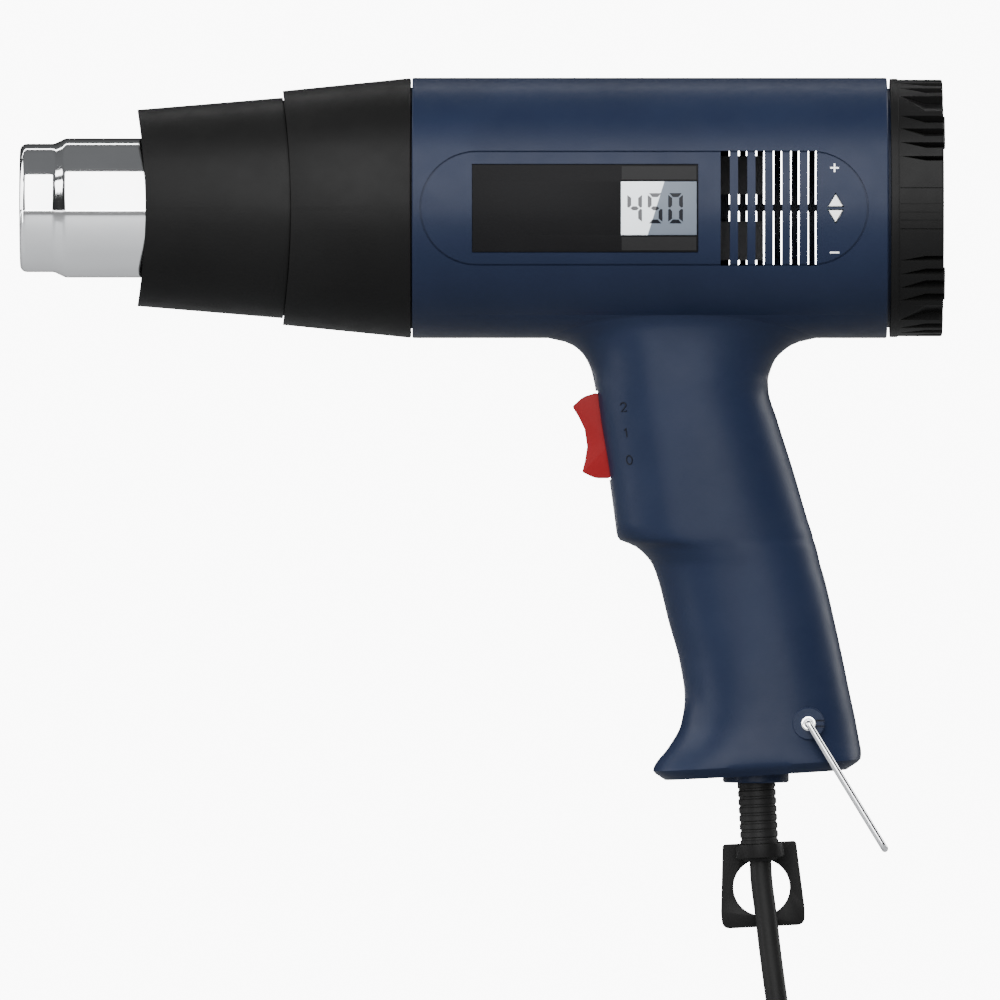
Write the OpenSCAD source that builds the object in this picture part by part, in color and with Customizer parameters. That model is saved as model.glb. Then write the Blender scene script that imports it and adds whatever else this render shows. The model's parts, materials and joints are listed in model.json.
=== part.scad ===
// Pistol-shaped heat gun, built from separate pieces.
// The barrel lies along X with the nozzle towards -X, Z is up, and the two housing halves
// meet at Y = 0. The origin is the middle of the grip.

/* [Barrel] */
// Height of the barrel's axis above the middle of the grip
axis_z = 110; // [100:1:132]
// Outer diameter of the barrel
barrel_d = 71; // [68:0.5:86]
// How far the barrel's front end lies ahead of the grip's middle
barrel_front = 91; // [90:1:110]
// How far the barrel's rear end lies behind the grip's middle
barrel_rear = 38; // [38:1:46]
// Wall of the housing halves
shell_t = 2.4; // [2:0.1:2.8]

/* [Grip] */
// Height of the trigger block below the barrel's underside
block_h = 54.5; // [52:0.5:58]
// Height of the grip's foot below its middle
foot_drop = 41.2; // [38:0.2:50]
// Rise of the foot towards the back, per millimetre
foot_rise = 0.058; // [0:0.002:0.08]
// Front of the trigger block at its lower end
block_front_low = 35.1; // [34.5:0.1:36]
// Front of the trigger block at its upper end
block_front_high = 41.1; // [40:0.1:42]

/* [Shroud and nozzle] */
// Length of the rear shroud collar at its top
collar_len = 35; // [30:0.5:42]
// Narrowing of the collar towards its front, on the radius
collar_taper = 3.5; // [2:0.1:5]
// Length of the front sleeve at its top
sleeve_len = 39.6; // [34:0.2:47]
// Narrowing of the front sleeve towards its front, on the radius
sleeve_taper = 3.8; // [2:0.1:5]
// Step from the collar's front edge down to the sleeve, on the radius
shroud_step = 1.3; // [0.8:0.1:2]
// Wall of the shroud pieces
shroud_t = 2.2; // [1.8:0.1:2.4]
// Hollow of the curved front edges, seen from the side
edge_bow = 2.5; // [1.5:0.1:4]
// Diameter of the slip-on nozzle seat
seat_d = 35; // [32:0.5:36]
// Length of the nozzle seat
seat_len = 9.7; // [8:0.1:14]
// Diameter of the nozzle tube behind its shoulder
tube_d = 38; // [37:0.2:42]
// Length of the nozzle tube ahead of the shroud
tube_reach = 32; // [28:0.5:40]
// Sheet thickness of the nozzle tube
tube_t = 0.9; // [0.6:0.1:1.2]

/* [Rear cap] */
// Length of the rear cap
cap_len = 14.1; // [13:0.1:17]
// Gap between the barrel and the rear cap
cap_gap = 1.3; // [0.8:0.1:2]
// Depth of the cap's grooves at the rear face
cap_groove = 2.2; // [1.2:0.1:2.6]
// Number of intake slots in the rear face
intake_slots = 24; // [16:1:28]
// Height of the rear feet
cap_foot = 0.4; // [0.3:0.1:1]

/* [Side of the barrel] */
// Half height of the grooved outline, the vents and the label's field
field_half = 15.6; // [14:0.2:17]
// Width of one vent slot
vent_w = 2.7; // [2.2:0.1:3]
// Distance between vent slots
vent_pitch = 4.75; // [4.4:0.05:4.9]
// Number of vent slots on the display side
vent_count = 6; // [3:1:6]
// Width of the ribs left between the slots of the far side
far_rib = 1.6; // [1:0.1:1.8]
// Length of the label plate
label_len = 61.2; // [56:0.2:66]
// Half height of the label plate
label_half = 11.9; // [10:0.1:13]
// Length of the display window
window_len = 20.9; // [18:0.1:22]
// Height of the display window
window_h = 13.9; // [12:0.1:14.5]
// Width and height of the triangular buttons
button_size = 3.8; // [3.4:0.1:4]
// Travel of the buttons
button_travel = 0.8; // [0.5:0.1:1]

/* [Rocker switch] */
// Length of the rocker
rocker_len = 23.4; // [20:0.2:25]
// Width of the rocker across the grip
rocker_w = 13; // [11:0.5:14]
// How far the rocker's horns stand out
horn_h = 7.1; // [6:0.1:8]
// Diameter of the rocker's pin
rocker_pin_d = 2.5; // [2:0.1:3]
// Depth of the switch body
switch_depth = 17.5; // [15:0.5:19]

/* [Heater] */
// Wall of the insulating tube
mica_t = 0.5; // [0.3:0.1:0.7]
// Diameter of the heating wire
wire_d = 1.2; // [0.8:0.1:1.4]
// Number of turns of the heating wire
coil_turns = 14; // [8:1:16]

/* [Motor and fan] */
// Diameter of the motor
motor_d = 35.6; // [32:0.2:38]
// Length of the motor
motor_len = 42; // [36:0.5:44]
// Diameter of the rotor shaft
shaft_d = 3.2; // [3:0.1:4]
// Number of fan blades
blade_count = 9; // [5:1:11]
// Length of the fan along its axis
fan_len = 15; // [12:0.5:16]

/* [Stand, hanger and cord] */
// Wire diameter of the stand
stand_wire_d = 1.9; // [1.6:0.1:2.2]
// Length of the stand's legs
stand_len = 39.9; // [36:0.1:46]
// How far the resting stand points below the horizontal
stand_angle = 58.6; // [50:0.1:62]
// Diameter of the cord
cord_d = 6; // [5:0.1:6.4]
// Diameter of the strain relief
relief_d = 10.4; // [9.6:0.1:11]
// Lean of the strain relief
relief_lean = 3; // [0:0.5:4]
// Diameter of the hanging hole
hang_hole_d = 15.4; // [12:0.1:16]
// Thickness of the hanging plate
hanger_t = 2; // [1.6:0.1:2.4]
// Turns of the cord's coil
cord_turns = 6; // [4:1:7]

/* [Fits] */
// Radial clearance of a shaft or pin in its bore
run_fit = 0.05; // [0.03:0.01:0.08]
// Gap between pieces that slide into each other
slip = 0.3; // [0.25:0.05:0.4]

/* [Hidden] */
$fn = 96;

// Colours
navy = [0.2, 0.25, 0.36];
black_plastic = [0.14, 0.14, 0.14];
polished = [0.8, 0.81, 0.83];
steel = [0.62, 0.63, 0.65];
brass = [0.78, 0.62, 0.3];
copper = [0.75, 0.42, 0.24];
board_green = [0.1, 0.36, 0.22];

// Barrel
barrel_r = barrel_d / 2;
bore_r = barrel_r - shell_t;
front_x = -barrel_front;
rear_x = barrel_rear;
barrel_len = rear_x - front_x;
barrel_bottom = axis_z - barrel_r;
far = 60;

// Bulkhead that carries the nozzle tube, and the spigot that carries the rear cap
bulkhead_t = 2.5;
bulkhead_x = front_x + 4.5;
spigot_r = barrel_r - 2.9;
spigot_t = 2.2;
spigot_len = 6;

// Grip: one row per section, as height, front, back, half width and squareness
block_bottom = barrel_bottom - block_h;
grip_h = block_bottom + foot_drop;
bevel_h = 3.25;
grip_sides = 24;
lower_rows = [
    [0.00, -25.0, 31.1, 17.4, 3.2],
    [0.10, -20.4, 30.5, 17.1, 3.2],
    [0.20, -17.6, 29.7, 16.8, 3.2],
    [0.31, -16.8, 28.4, 16.6, 3.0],
    [0.44, -18.0, 26.6, 16.6, 2.8],
    [0.58, -20.2, 24.7, 16.8, 2.8],
    [0.71, -22.3, 22.7, 17.0, 2.8],
    [0.82, -24.1, 21.2, 17.2, 2.8],
    [0.90, -26.2, 19.9, 17.4, 2.9],
    [0.96, -29.2, 19.0, 17.7, 3.0]
];
block_low_z = block_bottom + 2;
block_high_z = barrel_bottom - 12.5;
upper_rows = [
    [block_bottom - 0.5, -34.0, 18.1, 18.0, 3.4],
    [block_low_z, -block_front_low, 17.7, 18.2, 3.6],
    [block_high_z - 6, -40.2, 7.4, 18.6, 3.6],
    [block_high_z, -block_front_high, 6.0, 18.9, 3.4],
    [barrel_bottom - 8.5, -42.3, 6.7, 19.3, 3.0],
    [barrel_bottom - 4.5, -44.6, 9.2, 20.0, 2.8],
    [barrel_bottom - 1.5, -48.5, 13.4, 20.9, 2.6],
    [barrel_bottom + 1, -54.0, 18.8, 21.5, 2.6],
    [barrel_bottom + 9.5, -56.0, 21.0, 22.0, 2.6]
];
foot_row = [-foot_drop - bevel_h, -22.4, 27.4, 14.6, 3.0];
grip_rows = concat(
    [foot_row],
    [for (r = lower_rows) [r[0] * grip_h - foot_drop, r[1], r[2], r[3], r[4]]],
    upper_rows
);

// Shroud
collar_tip_x = front_x - 0.3 - collar_len;
collar_r = barrel_r - 0.1;
collar_tip_r = collar_r - collar_taper;
sleeve_tip_x = collar_tip_x - sleeve_len;
sleeve_r = collar_tip_r - shroud_step;
sleeve_tip_r = sleeve_r - sleeve_taper;

// Nozzle tube
seat_r = seat_d / 2;
tube_r = tube_d / 2;
tip_x = sleeve_tip_x - tube_reach;
shoulder_len = 2.5;
tube_wide_x = tip_x + seat_len + shoulder_len;
flange_t = 1;
flange_x = bulkhead_x - flange_t;
flange_r = bore_r - 1.2;
tube_screw_r = 25.5;

// Heater
mica_r = tube_r - tube_t - slip;
mica_x = tube_wide_x + 4;
mica_end_x = bulkhead_x - 18;
former_r = mica_r - mica_t - slip;
coil_r = former_r - wire_d;
plate_half = coil_r - wire_d / 2 - 0.25;

// Rear cap
cap_x = rear_x + cap_gap;
cap_rear_x = cap_x + cap_len;
cap_r = barrel_r - 0.25;
cap_plate_t = 2.2;
cap_flange = 1.9;
// Middle angle and width of the grooves in one quarter of the cap
cap_grooves = [
    [22.6, 3], [29.2, 4], [36.2, 4.4], [43.7, 4.2], [55, 11.5], [66.3, 5.4], [73.8, 4.4], [84.5, 8]
];

// Motor and fan
motor_r = motor_d / 2;
motor_wall = 1.3;
motor_x = rear_x - 94;
motor_rear_x = motor_x + motor_len;
end_cap_t = 6;
brush_box_len = 12.4;
fan_x = motor_x - 4 - fan_len;
fan_r = bore_r - 4.1;
shaft_r = shaft_d / 2;
hub_r = 7;
funnel_x = bulkhead_x + bulkhead_t;
funnel_t = 1.4;

// Fields on the barrel's side
vent_x = rear_x - 43.7;
label_rear_x = vent_x - 7.7;
window_rear_x = label_rear_x - 0.3;
label_t = 0.8;
outline_front_x = front_x + 2;
outline_rear_x = rear_x - 4.6;
button_x = rear_x - 13.6;
button_gap = 1.1;
board_y = bore_r - 5.6;
board_t = 1.6;
display_board_h = 24;

// Rocker switch
face_tilt = atan((block_front_high - block_front_low) / (block_high_z - block_low_z));
switch_z = barrel_bottom - 26.5;
switch_x = -block_front_low - (switch_z - block_low_z) * tan(face_tilt);
rocker_pin_x = 2.4;
switch_wall = 1.5;
switch_half_y = rocker_w / 2 + slip + switch_wall;
switch_half_z = rocker_len / 2 + slip * 2 + switch_wall;

// Housing screws: place along X and height of each
screw_places = [
    [motor_x + 16, axis_z + barrel_r - 8],
    [rear_x - 8, axis_z + barrel_r - 8],
    [rear_x - 8, axis_z - barrel_r + 8],
    [-33, barrel_bottom - 6.5],
    [-3, barrel_bottom - 16.5],
    [15, 2],
    [-10.5, 7 - foot_drop]
];
screw_seat_y = 8;
screw_r = 1.25;
screw_head_r = 2.7;
screw_boss_r = 4.2;

// Stand
stand_wire_r = stand_wire_d / 2;
stand_x = 16.8;
stand_z = 11 - foot_drop;
stand_face_y = 16.6;
stand_boss_r = 4.45;
eyelet_flange = 0.5;
stand_leg_y = stand_face_y + eyelet_flange + slip + stand_wire_r;
stand_pin_len = 6.5;

// Cord outlet
exit_x = 2.65;
neck_r = 8.8;
neck_z = -foot_drop - 6.3;
exit_z = -foot_drop - 2.8;
relief_r = relief_d / 2;
relief_len = 24;
cord_r = cord_d / 2;
lead_top = 21;
ring_r = relief_r + 1.35;
ring_len = 4;
groove_r = relief_r - 0.8;
ring_top = relief_len - 0.8 - ring_len;
plate_y = ring_r - 1.2;
plate_w = 20.5;
plate_h = 23;
hole_drop = 12.2;
clamp_z = exit_z + 17;
clamp_half = 10.4;
clamp_screw_x = 7.6;

// Cord: a coil of strands laid in a ring, and the routes of the stretches before and after it
coil_x = -26;
coil_z = -190;
coil_mean_r = cord_d * 6;
strand_r = cord_r / sin(180 / (cord_turns + 1)) + 0.05;
bundle_r = strand_r + cord_r;
cord_start = [exit_x + relief_len * sin(relief_lean), exit_z - relief_len * cos(relief_lean)];
cord_route = [
    [cord_start[0], 0, cord_start[1]],
    [cord_start[0] + 5 * sin(relief_lean), 0, cord_start[1] - 5 * cos(relief_lean)],
    [5.3, 0, -82],
    [6.6, 0, -93],
    [8.2, 0, -105],
    [10.4, 0, -120],
    [12.8, 0, -136],
    [14.9, 0, -152],
    [16.4, 0, -168],
    [17, 0, -182]
];
tail_route = [
    [14.4, -5.5, -192],
    [14.6, -7.6, -206],
    [13.6, -8, -220],
    [10.8, -6.2, -234],
    [7.2, -3.6, -248],
    [4, -1.5, -260],
    [4, -1.5, -268]
];
cord_sides = 10;
plug_x = 4;
plug_y = -1.5;
plug_z = -268;

// Boards in the grip
control_board_z = 20.5 - foot_drop;
control_board_h = 42.5;
control_board_y = 4;
board_posts = [
    [window_rear_x - window_len - 13.5, 9], [window_rear_x - window_len - 13.5, -9],
    [window_rear_x + 2, 10.3], [window_rear_x + 2, -10.3],
    [button_x + 4.6, 7], [button_x + 4.6, -7]
];

// Conductors: from the lead's end past the board to the switch, and from there to the motor
switch_wires = [
    [exit_x - 1, exit_z + lead_top + 0.6],
    [exit_x - 1.5, exit_z + lead_top + 6],
    [-2, -2],
    [-6, 14],
    [-11.5, 30],
    [-13, 38]
];
motor_wires = [
    [-12.6, 62],
    [-10.5, 68],
    [-9, 78],
    [motor_rear_x + 3, axis_z - motor_r - 0.5]
];

// ---------------------------------------------------------------- helpers

module along_barrel(x) {
    translate([x, 0, axis_z]) rotate([0, 90, 0]) children();
}

module barrel_disc(x, length, r) {
    along_barrel(x) cylinder(h = length, r = r);
}

module barrel_ring(x, length, r_out, r_in) {
    along_barrel(x) difference() {
        cylinder(h = length, r = r_out);
        translate([0, 0, -1]) cylinder(h = length + 2, r = r_in);
    }
}

// Solid of revolution round the barrel's axis: points are [radius, place along X]
module barrel_turned(points) {
    translate([0, 0, axis_z]) rotate([0, 90, 0]) rotate_extrude() polygon(points);
}

// Cylinder across the gun, between two places along Y
module across(x, z, y0, y1, r) {
    translate([x, y0, z]) rotate([-90, 0, 0]) cylinder(h = y1 - y0, r = r);
}

module box(x0, x1, y0, y1, z0, z1) {
    translate([x0, y0, z0]) cube([x1 - x0, y1 - y0, z1 - z0]);
}

// Everything on one side of the parting plane
module side_of_gun(side) {
    intersection() {
        children();
        translate([-far * 3, side > 0 ? 0 : -far, -far * 2]) cube([far * 6, far, far * 5]);
    }
}

// Outline with round ends, between two places along X, cut across the display side
module stadium_prism(x0, x1, half, y0, y1) {
    box(x0 + half, x1 - half, y0, y1, axis_z - half, axis_z + half);
    across(x0 + half, axis_z, y0, y1, half);
    across(x1 - half, axis_z, y0, y1, half);
}

function signed_power(v, p) = sign(v) * pow(abs(v), p);

function section(row, inset, k) =
    let (
        t = 360 * (k + 0.5) / grip_sides,
        e = 2 / row[4],
        reach = ((row[2] - row[1]) / 2 - inset) * signed_power(cos(t), e),
        wide = (row[3] - inset) * signed_power(sin(t), e),
        lean = foot_rise * max(0, min(1, (-20 - row[0]) / 20))
    )
    [(row[1] + row[2]) / 2 + reach, wide, row[0] + lean * reach];

// Grip with its fairing into the barrel, shrunk by inset on every side
module grip_loft(inset) {
    rows = [for (i = [0 : len(grip_rows) - 1])
        let (r = grip_rows[i], lift = i == 0 ? inset : i == 1 ? inset * 0.5 : 0)
        [r[0] + lift, r[1], r[2], r[3], r[4]]];
    n = grip_sides;
    last = len(rows) - 1;
    polyhedron(
        points = [for (r = rows) for (k = [0 : n - 1]) section(r, inset, k)],
        faces = concat(
            [[for (k = [0 : n - 1]) k]],
            [[for (k = [n - 1 : -1 : 0]) last * n + k]],
            [for (i = [0 : last - 1]) for (k = [0 : n - 1])
                [i * n + k, (i + 1) * n + k, (i + 1) * n + (k + 1) % n, i * n + (k + 1) % n]]
        )
    );
}

// Frame of the rocker switch: local -X points out of the grip's front, Z up along it
module at_switch() {
    translate([switch_x, 0, switch_z]) rotate([0, -face_tilt, 0]) children();
}

// Frame of the cord outlet: local -Z points out of the grip's foot
module at_outlet() {
    translate([exit_x, 0, exit_z]) rotate([0, -relief_lean, 0]) children();
}

module at_stand() {
    translate([stand_x, 0, stand_z]) rotate([0, stand_angle, 0]) children();
}

// ---------------------------------------------------------------- housing

module housing_outside() {
    barrel_disc(front_x, barrel_len, barrel_r);
    barrel_disc(rear_x - 1, spigot_len + 1, spigot_r);
    grip_loft(0);
    translate([exit_x, 0, neck_z]) cylinder(h = 8, r = neck_r);
    for (side = [-1, 1]) {
        across(stand_x, stand_z, side > 0 ? 8 : -stand_face_y, side > 0 ? stand_face_y : -8, stand_boss_r);
    }
}

// What stays standing inside the hollow
module housing_inside() {
    barrel_ring(bulkhead_x, bulkhead_t, barrel_r - 1, tube_r + 2);
    barrel_ring(rear_x - shell_t, spigot_len + shell_t, spigot_r, spigot_r - spigot_t);
    barrel_ring(rear_x - shell_t, shell_t, barrel_r - 1, spigot_r - spigot_t);
    for (p = screw_places) {
        across(p[0], p[1], -far, far, screw_boss_r);
    }
    for (side = [-1, 1]) {
        across(stand_x, stand_z, side > 0 ? 10.5 : -far, side > 0 ? far : -10.5, 3.4);
    }
    // posts of the display's boards, of the cord clamp and of the control board
    for (p = board_posts) {
        across(p[0], axis_z + p[1], -far, -board_y, 1.6);
    }
    for (s = [-1, 1]) {
        across(exit_x + s * clamp_screw_x, clamp_z, -far, 0, 3.2);
    }
    for (z = [5, control_board_h - 5]) {
        across(6, control_board_z + z, control_board_y + board_t, far, 2);
    }
}

module housing_hollow() {
    difference() {
        union() {
            barrel_disc(front_x - 1, barrel_len + 2, bore_r);
            barrel_disc(rear_x - 1, spigot_len + 2, bore_r);
            grip_loft(shell_t);
        }
        housing_inside();
    }
}

module housing_openings() {
    at_switch() box(-8, shell_t + 2, -switch_half_y - 0.2, switch_half_y + 0.2,
        -switch_half_z - 0.2, switch_half_z + 0.2);
    at_outlet() translate([0, 0, -12]) cylinder(h = 16, r = relief_r + 0.1);
    for (side = [-1, 1]) {
        across(stand_x, stand_z, side > 0 ? 9 : -far, side > 0 ? far : -9, stand_wire_r + run_fit + 0.6);
    }
    for (a = [45 : 90 : 315]) {
        along_barrel(bulkhead_x - 1) rotate([0, 0, a]) translate([tube_screw_r, 0, 0])
            cylinder(h = bulkhead_t + 2, r = screw_r + run_fit);
    }
}

module housing_half(side) {
    side_of_gun(side) difference() {
        housing_outside();
        housing_hollow();
        housing_openings();
    }
}

module button_prism(direction, y0, y1, grow) {
    tip = button_size * 0.84;
    z = axis_z + direction * button_gap / 2;
    translate([button_x, y1, z]) rotate([90, 0, 0]) linear_extrude(y1 - y0)
        polygon([
            [-button_size / 2 - grow * 1.7, -direction * grow],
            [button_size / 2 + grow * 1.7, -direction * grow],
            [0, direction * (tip + grow * 2)]
        ]);
}

module vent_slots(y0, y1) {
    for (i = [0 : vent_count - 1]) {
        x = vent_x + i * vent_pitch;
        box(x - vent_w / 2, x + vent_w / 2, y0, y1, axis_z - field_half, axis_z + field_half);
    }
}

module housing_left() {
    color(navy) difference() {
        housing_half(-1);
        // vents
        vent_slots(-far, -20);
        // pocket of the label and the hole of the display
        intersection() {
            barrel_ring(label_rear_x - label_len - 0.2, label_len + 0.4, barrel_r + 2,
                barrel_r - label_t - 0.1);
            box(-far * 3, far, -far, -10, axis_z - label_half - 0.2, axis_z + label_half + 0.2);
        }
        box(window_rear_x - window_len + 1, window_rear_x - 1, -far, -20,
            axis_z - window_h / 2 + 1, axis_z + window_h / 2 - 1);
        button_prism(1, -far, -20, 0.25);
        button_prism(-1, -far, -20, 0.25);
        // fine grooved outline round the field
        intersection() {
            barrel_ring(outline_front_x - 1, outline_rear_x - outline_front_x + 2, barrel_r + 2,
                barrel_r - 0.5);
            difference() {
                stadium_prism(outline_front_x, outline_rear_x, field_half, -far, -10);
                stadium_prism(outline_front_x + 0.6, outline_rear_x - 0.6, field_half - 0.6,
                    -far - 1, -9);
            }
        }
        // pilot holes of the housing screws and of the cord clamp's screws
        for (p = screw_places) {
            across(p[0], p[1], -10, 1, screw_r + run_fit);
        }
        for (s = [-1, 1]) {
            across(exit_x + s * clamp_screw_x, clamp_z, -8, 1, screw_r + run_fit);
        }
    }
}

module housing_right() {
    color(navy) difference() {
        housing_half(1);
        // slots between ribs that stand opposite the middles of the near slots
        for (i = [0 : vent_count - 2]) {
            x = vent_x + i * vent_pitch;
            box(x + far_rib / 2, x + vent_pitch - far_rib / 2, 20, far, axis_z + 0.9,
                axis_z + field_half);
            box(x + far_rib / 2, x + vent_pitch - far_rib / 2, 20, far, axis_z - field_half,
                axis_z - 0.9);
        }
        // a last slot beyond the outer rib
        for (s = [-1, 1]) {
            box(vent_x + (vent_count - 1) * vent_pitch + far_rib / 2,
                vent_x + (vent_count - 1) * vent_pitch + vent_w / 2, 20, far,
                s > 0 ? axis_z + 0.9 : axis_z - field_half,
                s > 0 ? axis_z + field_half : axis_z - 0.9);
        }
        for (p = screw_places) {
            across(p[0], p[1], -1, far, screw_r + run_fit);
            across(p[0], p[1], screw_seat_y, far, screw_head_r + slip);
        }
    }
}

// ---------------------------------------------------------------- shroud and nozzle

// Round block whose curved side hollows a front edge, seen from the side
module edge_cutter(tip_x, r) {
    bow_r = (r * r + edge_bow * edge_bow) / (2 * edge_bow);
    across(tip_x + edge_bow - bow_r, axis_z, -far, far, bow_r);
}

module front_collar() {
    x0 = collar_tip_x;
    x1 = front_x - 0.3;
    color(black_plastic) difference() {
        barrel_turned([
            [collar_tip_r, x0], [collar_r, x1 - 1], [collar_r - 0.5, x1],
            [bore_r - slip, x1], [bore_r - slip, x1 + 3], [bore_r - slip - 1.4, x1 + 3],
            [bore_r - slip - 1.4, x1 - 1], [collar_tip_r - shroud_t, x0]
        ]);
        edge_cutter(x0, collar_tip_r);
    }
}

module front_sleeve() {
    x0 = sleeve_tip_x;
    x1 = collar_tip_x + 6;
    spigot = collar_tip_r - shroud_t - slip;
    color(black_plastic) union() {
        difference() {
            intersection() {
                barrel_turned([
                    [sleeve_tip_r, x0], [sleeve_r, x1], [spigot - 2, x1],
                    [sleeve_tip_r - shroud_t, x0]
                ]);
                translate([-slip, 0, 0]) edge_cutter(collar_tip_x, collar_tip_r);
            }
            edge_cutter(x0, sleeve_tip_r);
        }
        barrel_turned([
            [spigot, collar_tip_x - 2], [spigot, collar_tip_x + 12],
            [spigot - 2, collar_tip_x + 12], [spigot - 2, collar_tip_x - 2]
        ]);
        // inner web that steadies the nozzle tube, with air holes
        difference() {
            barrel_ring(x0 + 8, 2, sleeve_tip_r - 1, tube_r + slip);
            for (a = [0 : 30 : 330]) {
                along_barrel(x0 + 7) rotate([0, 0, a])
                    translate([(sleeve_tip_r - shroud_t + tube_r) / 2 + 0.3, 0, 0])
                    cylinder(h = 4, r = 1.6);
            }
        }
    }
}

module nozzle_tube() {
    color(polished) difference() {
        barrel_turned([
            [seat_r - 0.9, tip_x], [seat_r - 0.3, tip_x + 0.2], [seat_r, tip_x + 0.8],
            [seat_r, tip_x + seat_len], [tube_r, tube_wide_x],
            [tube_r, flange_x], [flange_r, flange_x], [flange_r, flange_x + flange_t],
            [tube_r - tube_t, flange_x + flange_t], [tube_r - tube_t, tube_wide_x],
            [seat_r - tube_t, tip_x + seat_len], [seat_r - tube_t, tip_x + 0.2]
        ]);
        for (a = [45 : 90 : 315]) {
            along_barrel(flange_x - 1) rotate([0, 0, a]) translate([tube_screw_r, 0, 0])
                cylinder(h = flange_t + 2, r = screw_r + run_fit);
        }
    }
}

module tube_screws() {
    color(steel) for (a = [45 : 90 : 315]) {
        along_barrel(flange_x - 1.8) rotate([0, 0, a]) translate([tube_screw_r, 0, 0]) {
            cylinder(h = 1.8, r = 2.4);
            cylinder(h = 1.8 + flange_t + bulkhead_t, r = screw_r);
        }
    }
}

// ---------------------------------------------------------------- heater

module mica_tube() {
    color([0.72, 0.66, 0.52]) barrel_ring(mica_x, mica_end_x - mica_x, mica_r, mica_r - mica_t);
}

module element_former() {
    disc_t = 1.5;
    length = mica_end_x - mica_x - 4;
    color([0.85, 0.82, 0.74]) along_barrel(mica_x + 2) union() {
        for (a = [0, 90]) {
            rotate([0, 0, a]) translate([-plate_half, -0.5, 0]) cube([plate_half * 2, 1, length]);
        }
        for (z = [0, length - disc_t]) {
            translate([0, 0, z]) difference() {
                cylinder(h = disc_t, r = former_r);
                for (a = [45 : 90 : 315]) {
                    rotate([0, 0, a]) translate([former_r * 0.55, 0, -1])
                        cylinder(h = disc_t + 2, r = former_r * 0.3);
                }
            }
        }
    }
}

module heating_coil() {
    length = mica_end_x - mica_x - 16;
    color([0.55, 0.5, 0.46]) for (i = [0 : coil_turns - 1]) {
        along_barrel(mica_x + 8 + length * i / (coil_turns - 1)) rotate_extrude()
            translate([coil_r, 0]) circle(r = wire_d / 2, $fn = 20);
    }
}

module thermocouple() {
    color(steel) along_barrel(mica_x + 3.5 + slip) rotate([0, 0, 20])
        translate([plate_half * 0.55, 0, 0]) union() {
            cylinder(h = mica_end_x - mica_x - 8, r = 0.8);
            sphere(r = 1.1, $fn = 24);
        }
}

// ---------------------------------------------------------------- air path

module air_funnel() {
    mouth_r = fan_r + 0.8;
    throat_r = tube_r - tube_t;
    end_x = motor_x - 2;
    color([0.3, 0.3, 0.3]) union() {
        barrel_turned([
            [throat_r + funnel_t, funnel_x], [bore_r - slip, funnel_x],
            [bore_r - slip, funnel_x + 1.5], [throat_r + funnel_t, funnel_x + 1.5],
            [mouth_r + funnel_t, fan_x - 1], [mouth_r + funnel_t, end_x],
            [mouth_r, end_x], [mouth_r, fan_x - 1], [throat_r, funnel_x + 1.5],
            [throat_r, funnel_x]
        ]);
        for (a = [0 : 60 : 300]) {
            along_barrel(fan_x) rotate([0, 0, a]) translate([mouth_r + funnel_t - 0.5, -1, 0])
                cube([bore_r - slip - mouth_r - funnel_t + 0.2, 2, end_x - fan_x]);
        }
    }
}

module fan() {
    color([0.85, 0.85, 0.82]) along_barrel(fan_x) difference() {
        union() {
            cylinder(h = fan_len, r = hub_r);
            for (a = [0 : 360 / blade_count : 359]) {
                rotate([0, 0, a]) translate([0, 0, fan_len / 2]) rotate([35, 0, 0])
                    translate([hub_r - 1.5, -0.7, -fan_len / 2 + 1.5])
                    cube([fan_r - hub_r + 1, 1.4, fan_len - 3]);
            }
        }
        translate([0, 0, -1]) cylinder(h = fan_len + 2, r = shaft_r + run_fit / 2);
    }
}

module rotor_shaft() {
    color(steel) barrel_disc(fan_x - 1.5, motor_rear_x + end_cap_t - 1 - fan_x + 1.5, shaft_r);
}

module armature() {
    core_r = motor_r - 5.2;
    color(copper) along_barrel(motor_x + 8) difference() {
        union() {
            cylinder(h = motor_len - 18, r = core_r);
            translate([0, 0, -2.5]) cylinder(h = motor_len - 13, r = core_r - 3);
        }
        for (a = [0 : 60 : 300]) {
            rotate([0, 0, a]) translate([core_r - 2, -1, -1]) cube([4, 2, motor_len - 16]);
        }
        translate([0, 0, -4]) cylinder(h = motor_len, r = shaft_r + run_fit / 2);
    }
}

module commutator() {
    color(copper) barrel_ring(motor_rear_x - 6, 7, 4.2, shaft_r + run_fit / 2);
}

module motor_can() {
    color(steel) difference() {
        barrel_disc(motor_x, motor_len, motor_r);
        barrel_disc(motor_x + motor_wall, motor_len, motor_r - motor_wall);
        barrel_disc(motor_x - 1, 4, 4 + run_fit);
        for (a = [45 : 90 : 315]) {
            along_barrel(motor_x - 1) rotate([0, 0, a]) translate([10, 0, 0])
                cylinder(h = 4, r = 2.5);
        }
    }
}

module magnets() {
    color([0.2, 0.2, 0.22]) for (side = [-1, 1]) {
        intersection() {
            barrel_ring(motor_x + 7, motor_len - 14, motor_r - motor_wall - 0.1, motor_r - 4.6);
            box(-far * 2, far, -far, far, side > 0 ? axis_z + 6 : axis_z - far,
                side > 0 ? axis_z + far : axis_z - 6);
        }
    }
}

module motor_bushes() {
    color(brass) {
        barrel_ring(motor_x - 1.5, 5, 4, shaft_r + run_fit);
        barrel_ring(motor_rear_x + 1.5, end_cap_t - 2.5, 4, shaft_r + run_fit);
    }
}

module motor_end_cap() {
    color([0.16, 0.16, 0.17]) difference() {
        union() {
            barrel_disc(motor_rear_x, end_cap_t, motor_r);
            barrel_disc(motor_rear_x - 3, 3.5, motor_r - motor_wall - 0.1);
        }
        barrel_disc(motor_rear_x - 4, 5.5, motor_r - 5);
        barrel_disc(motor_rear_x, end_cap_t + 1, 4 + run_fit);
    }
}

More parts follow.
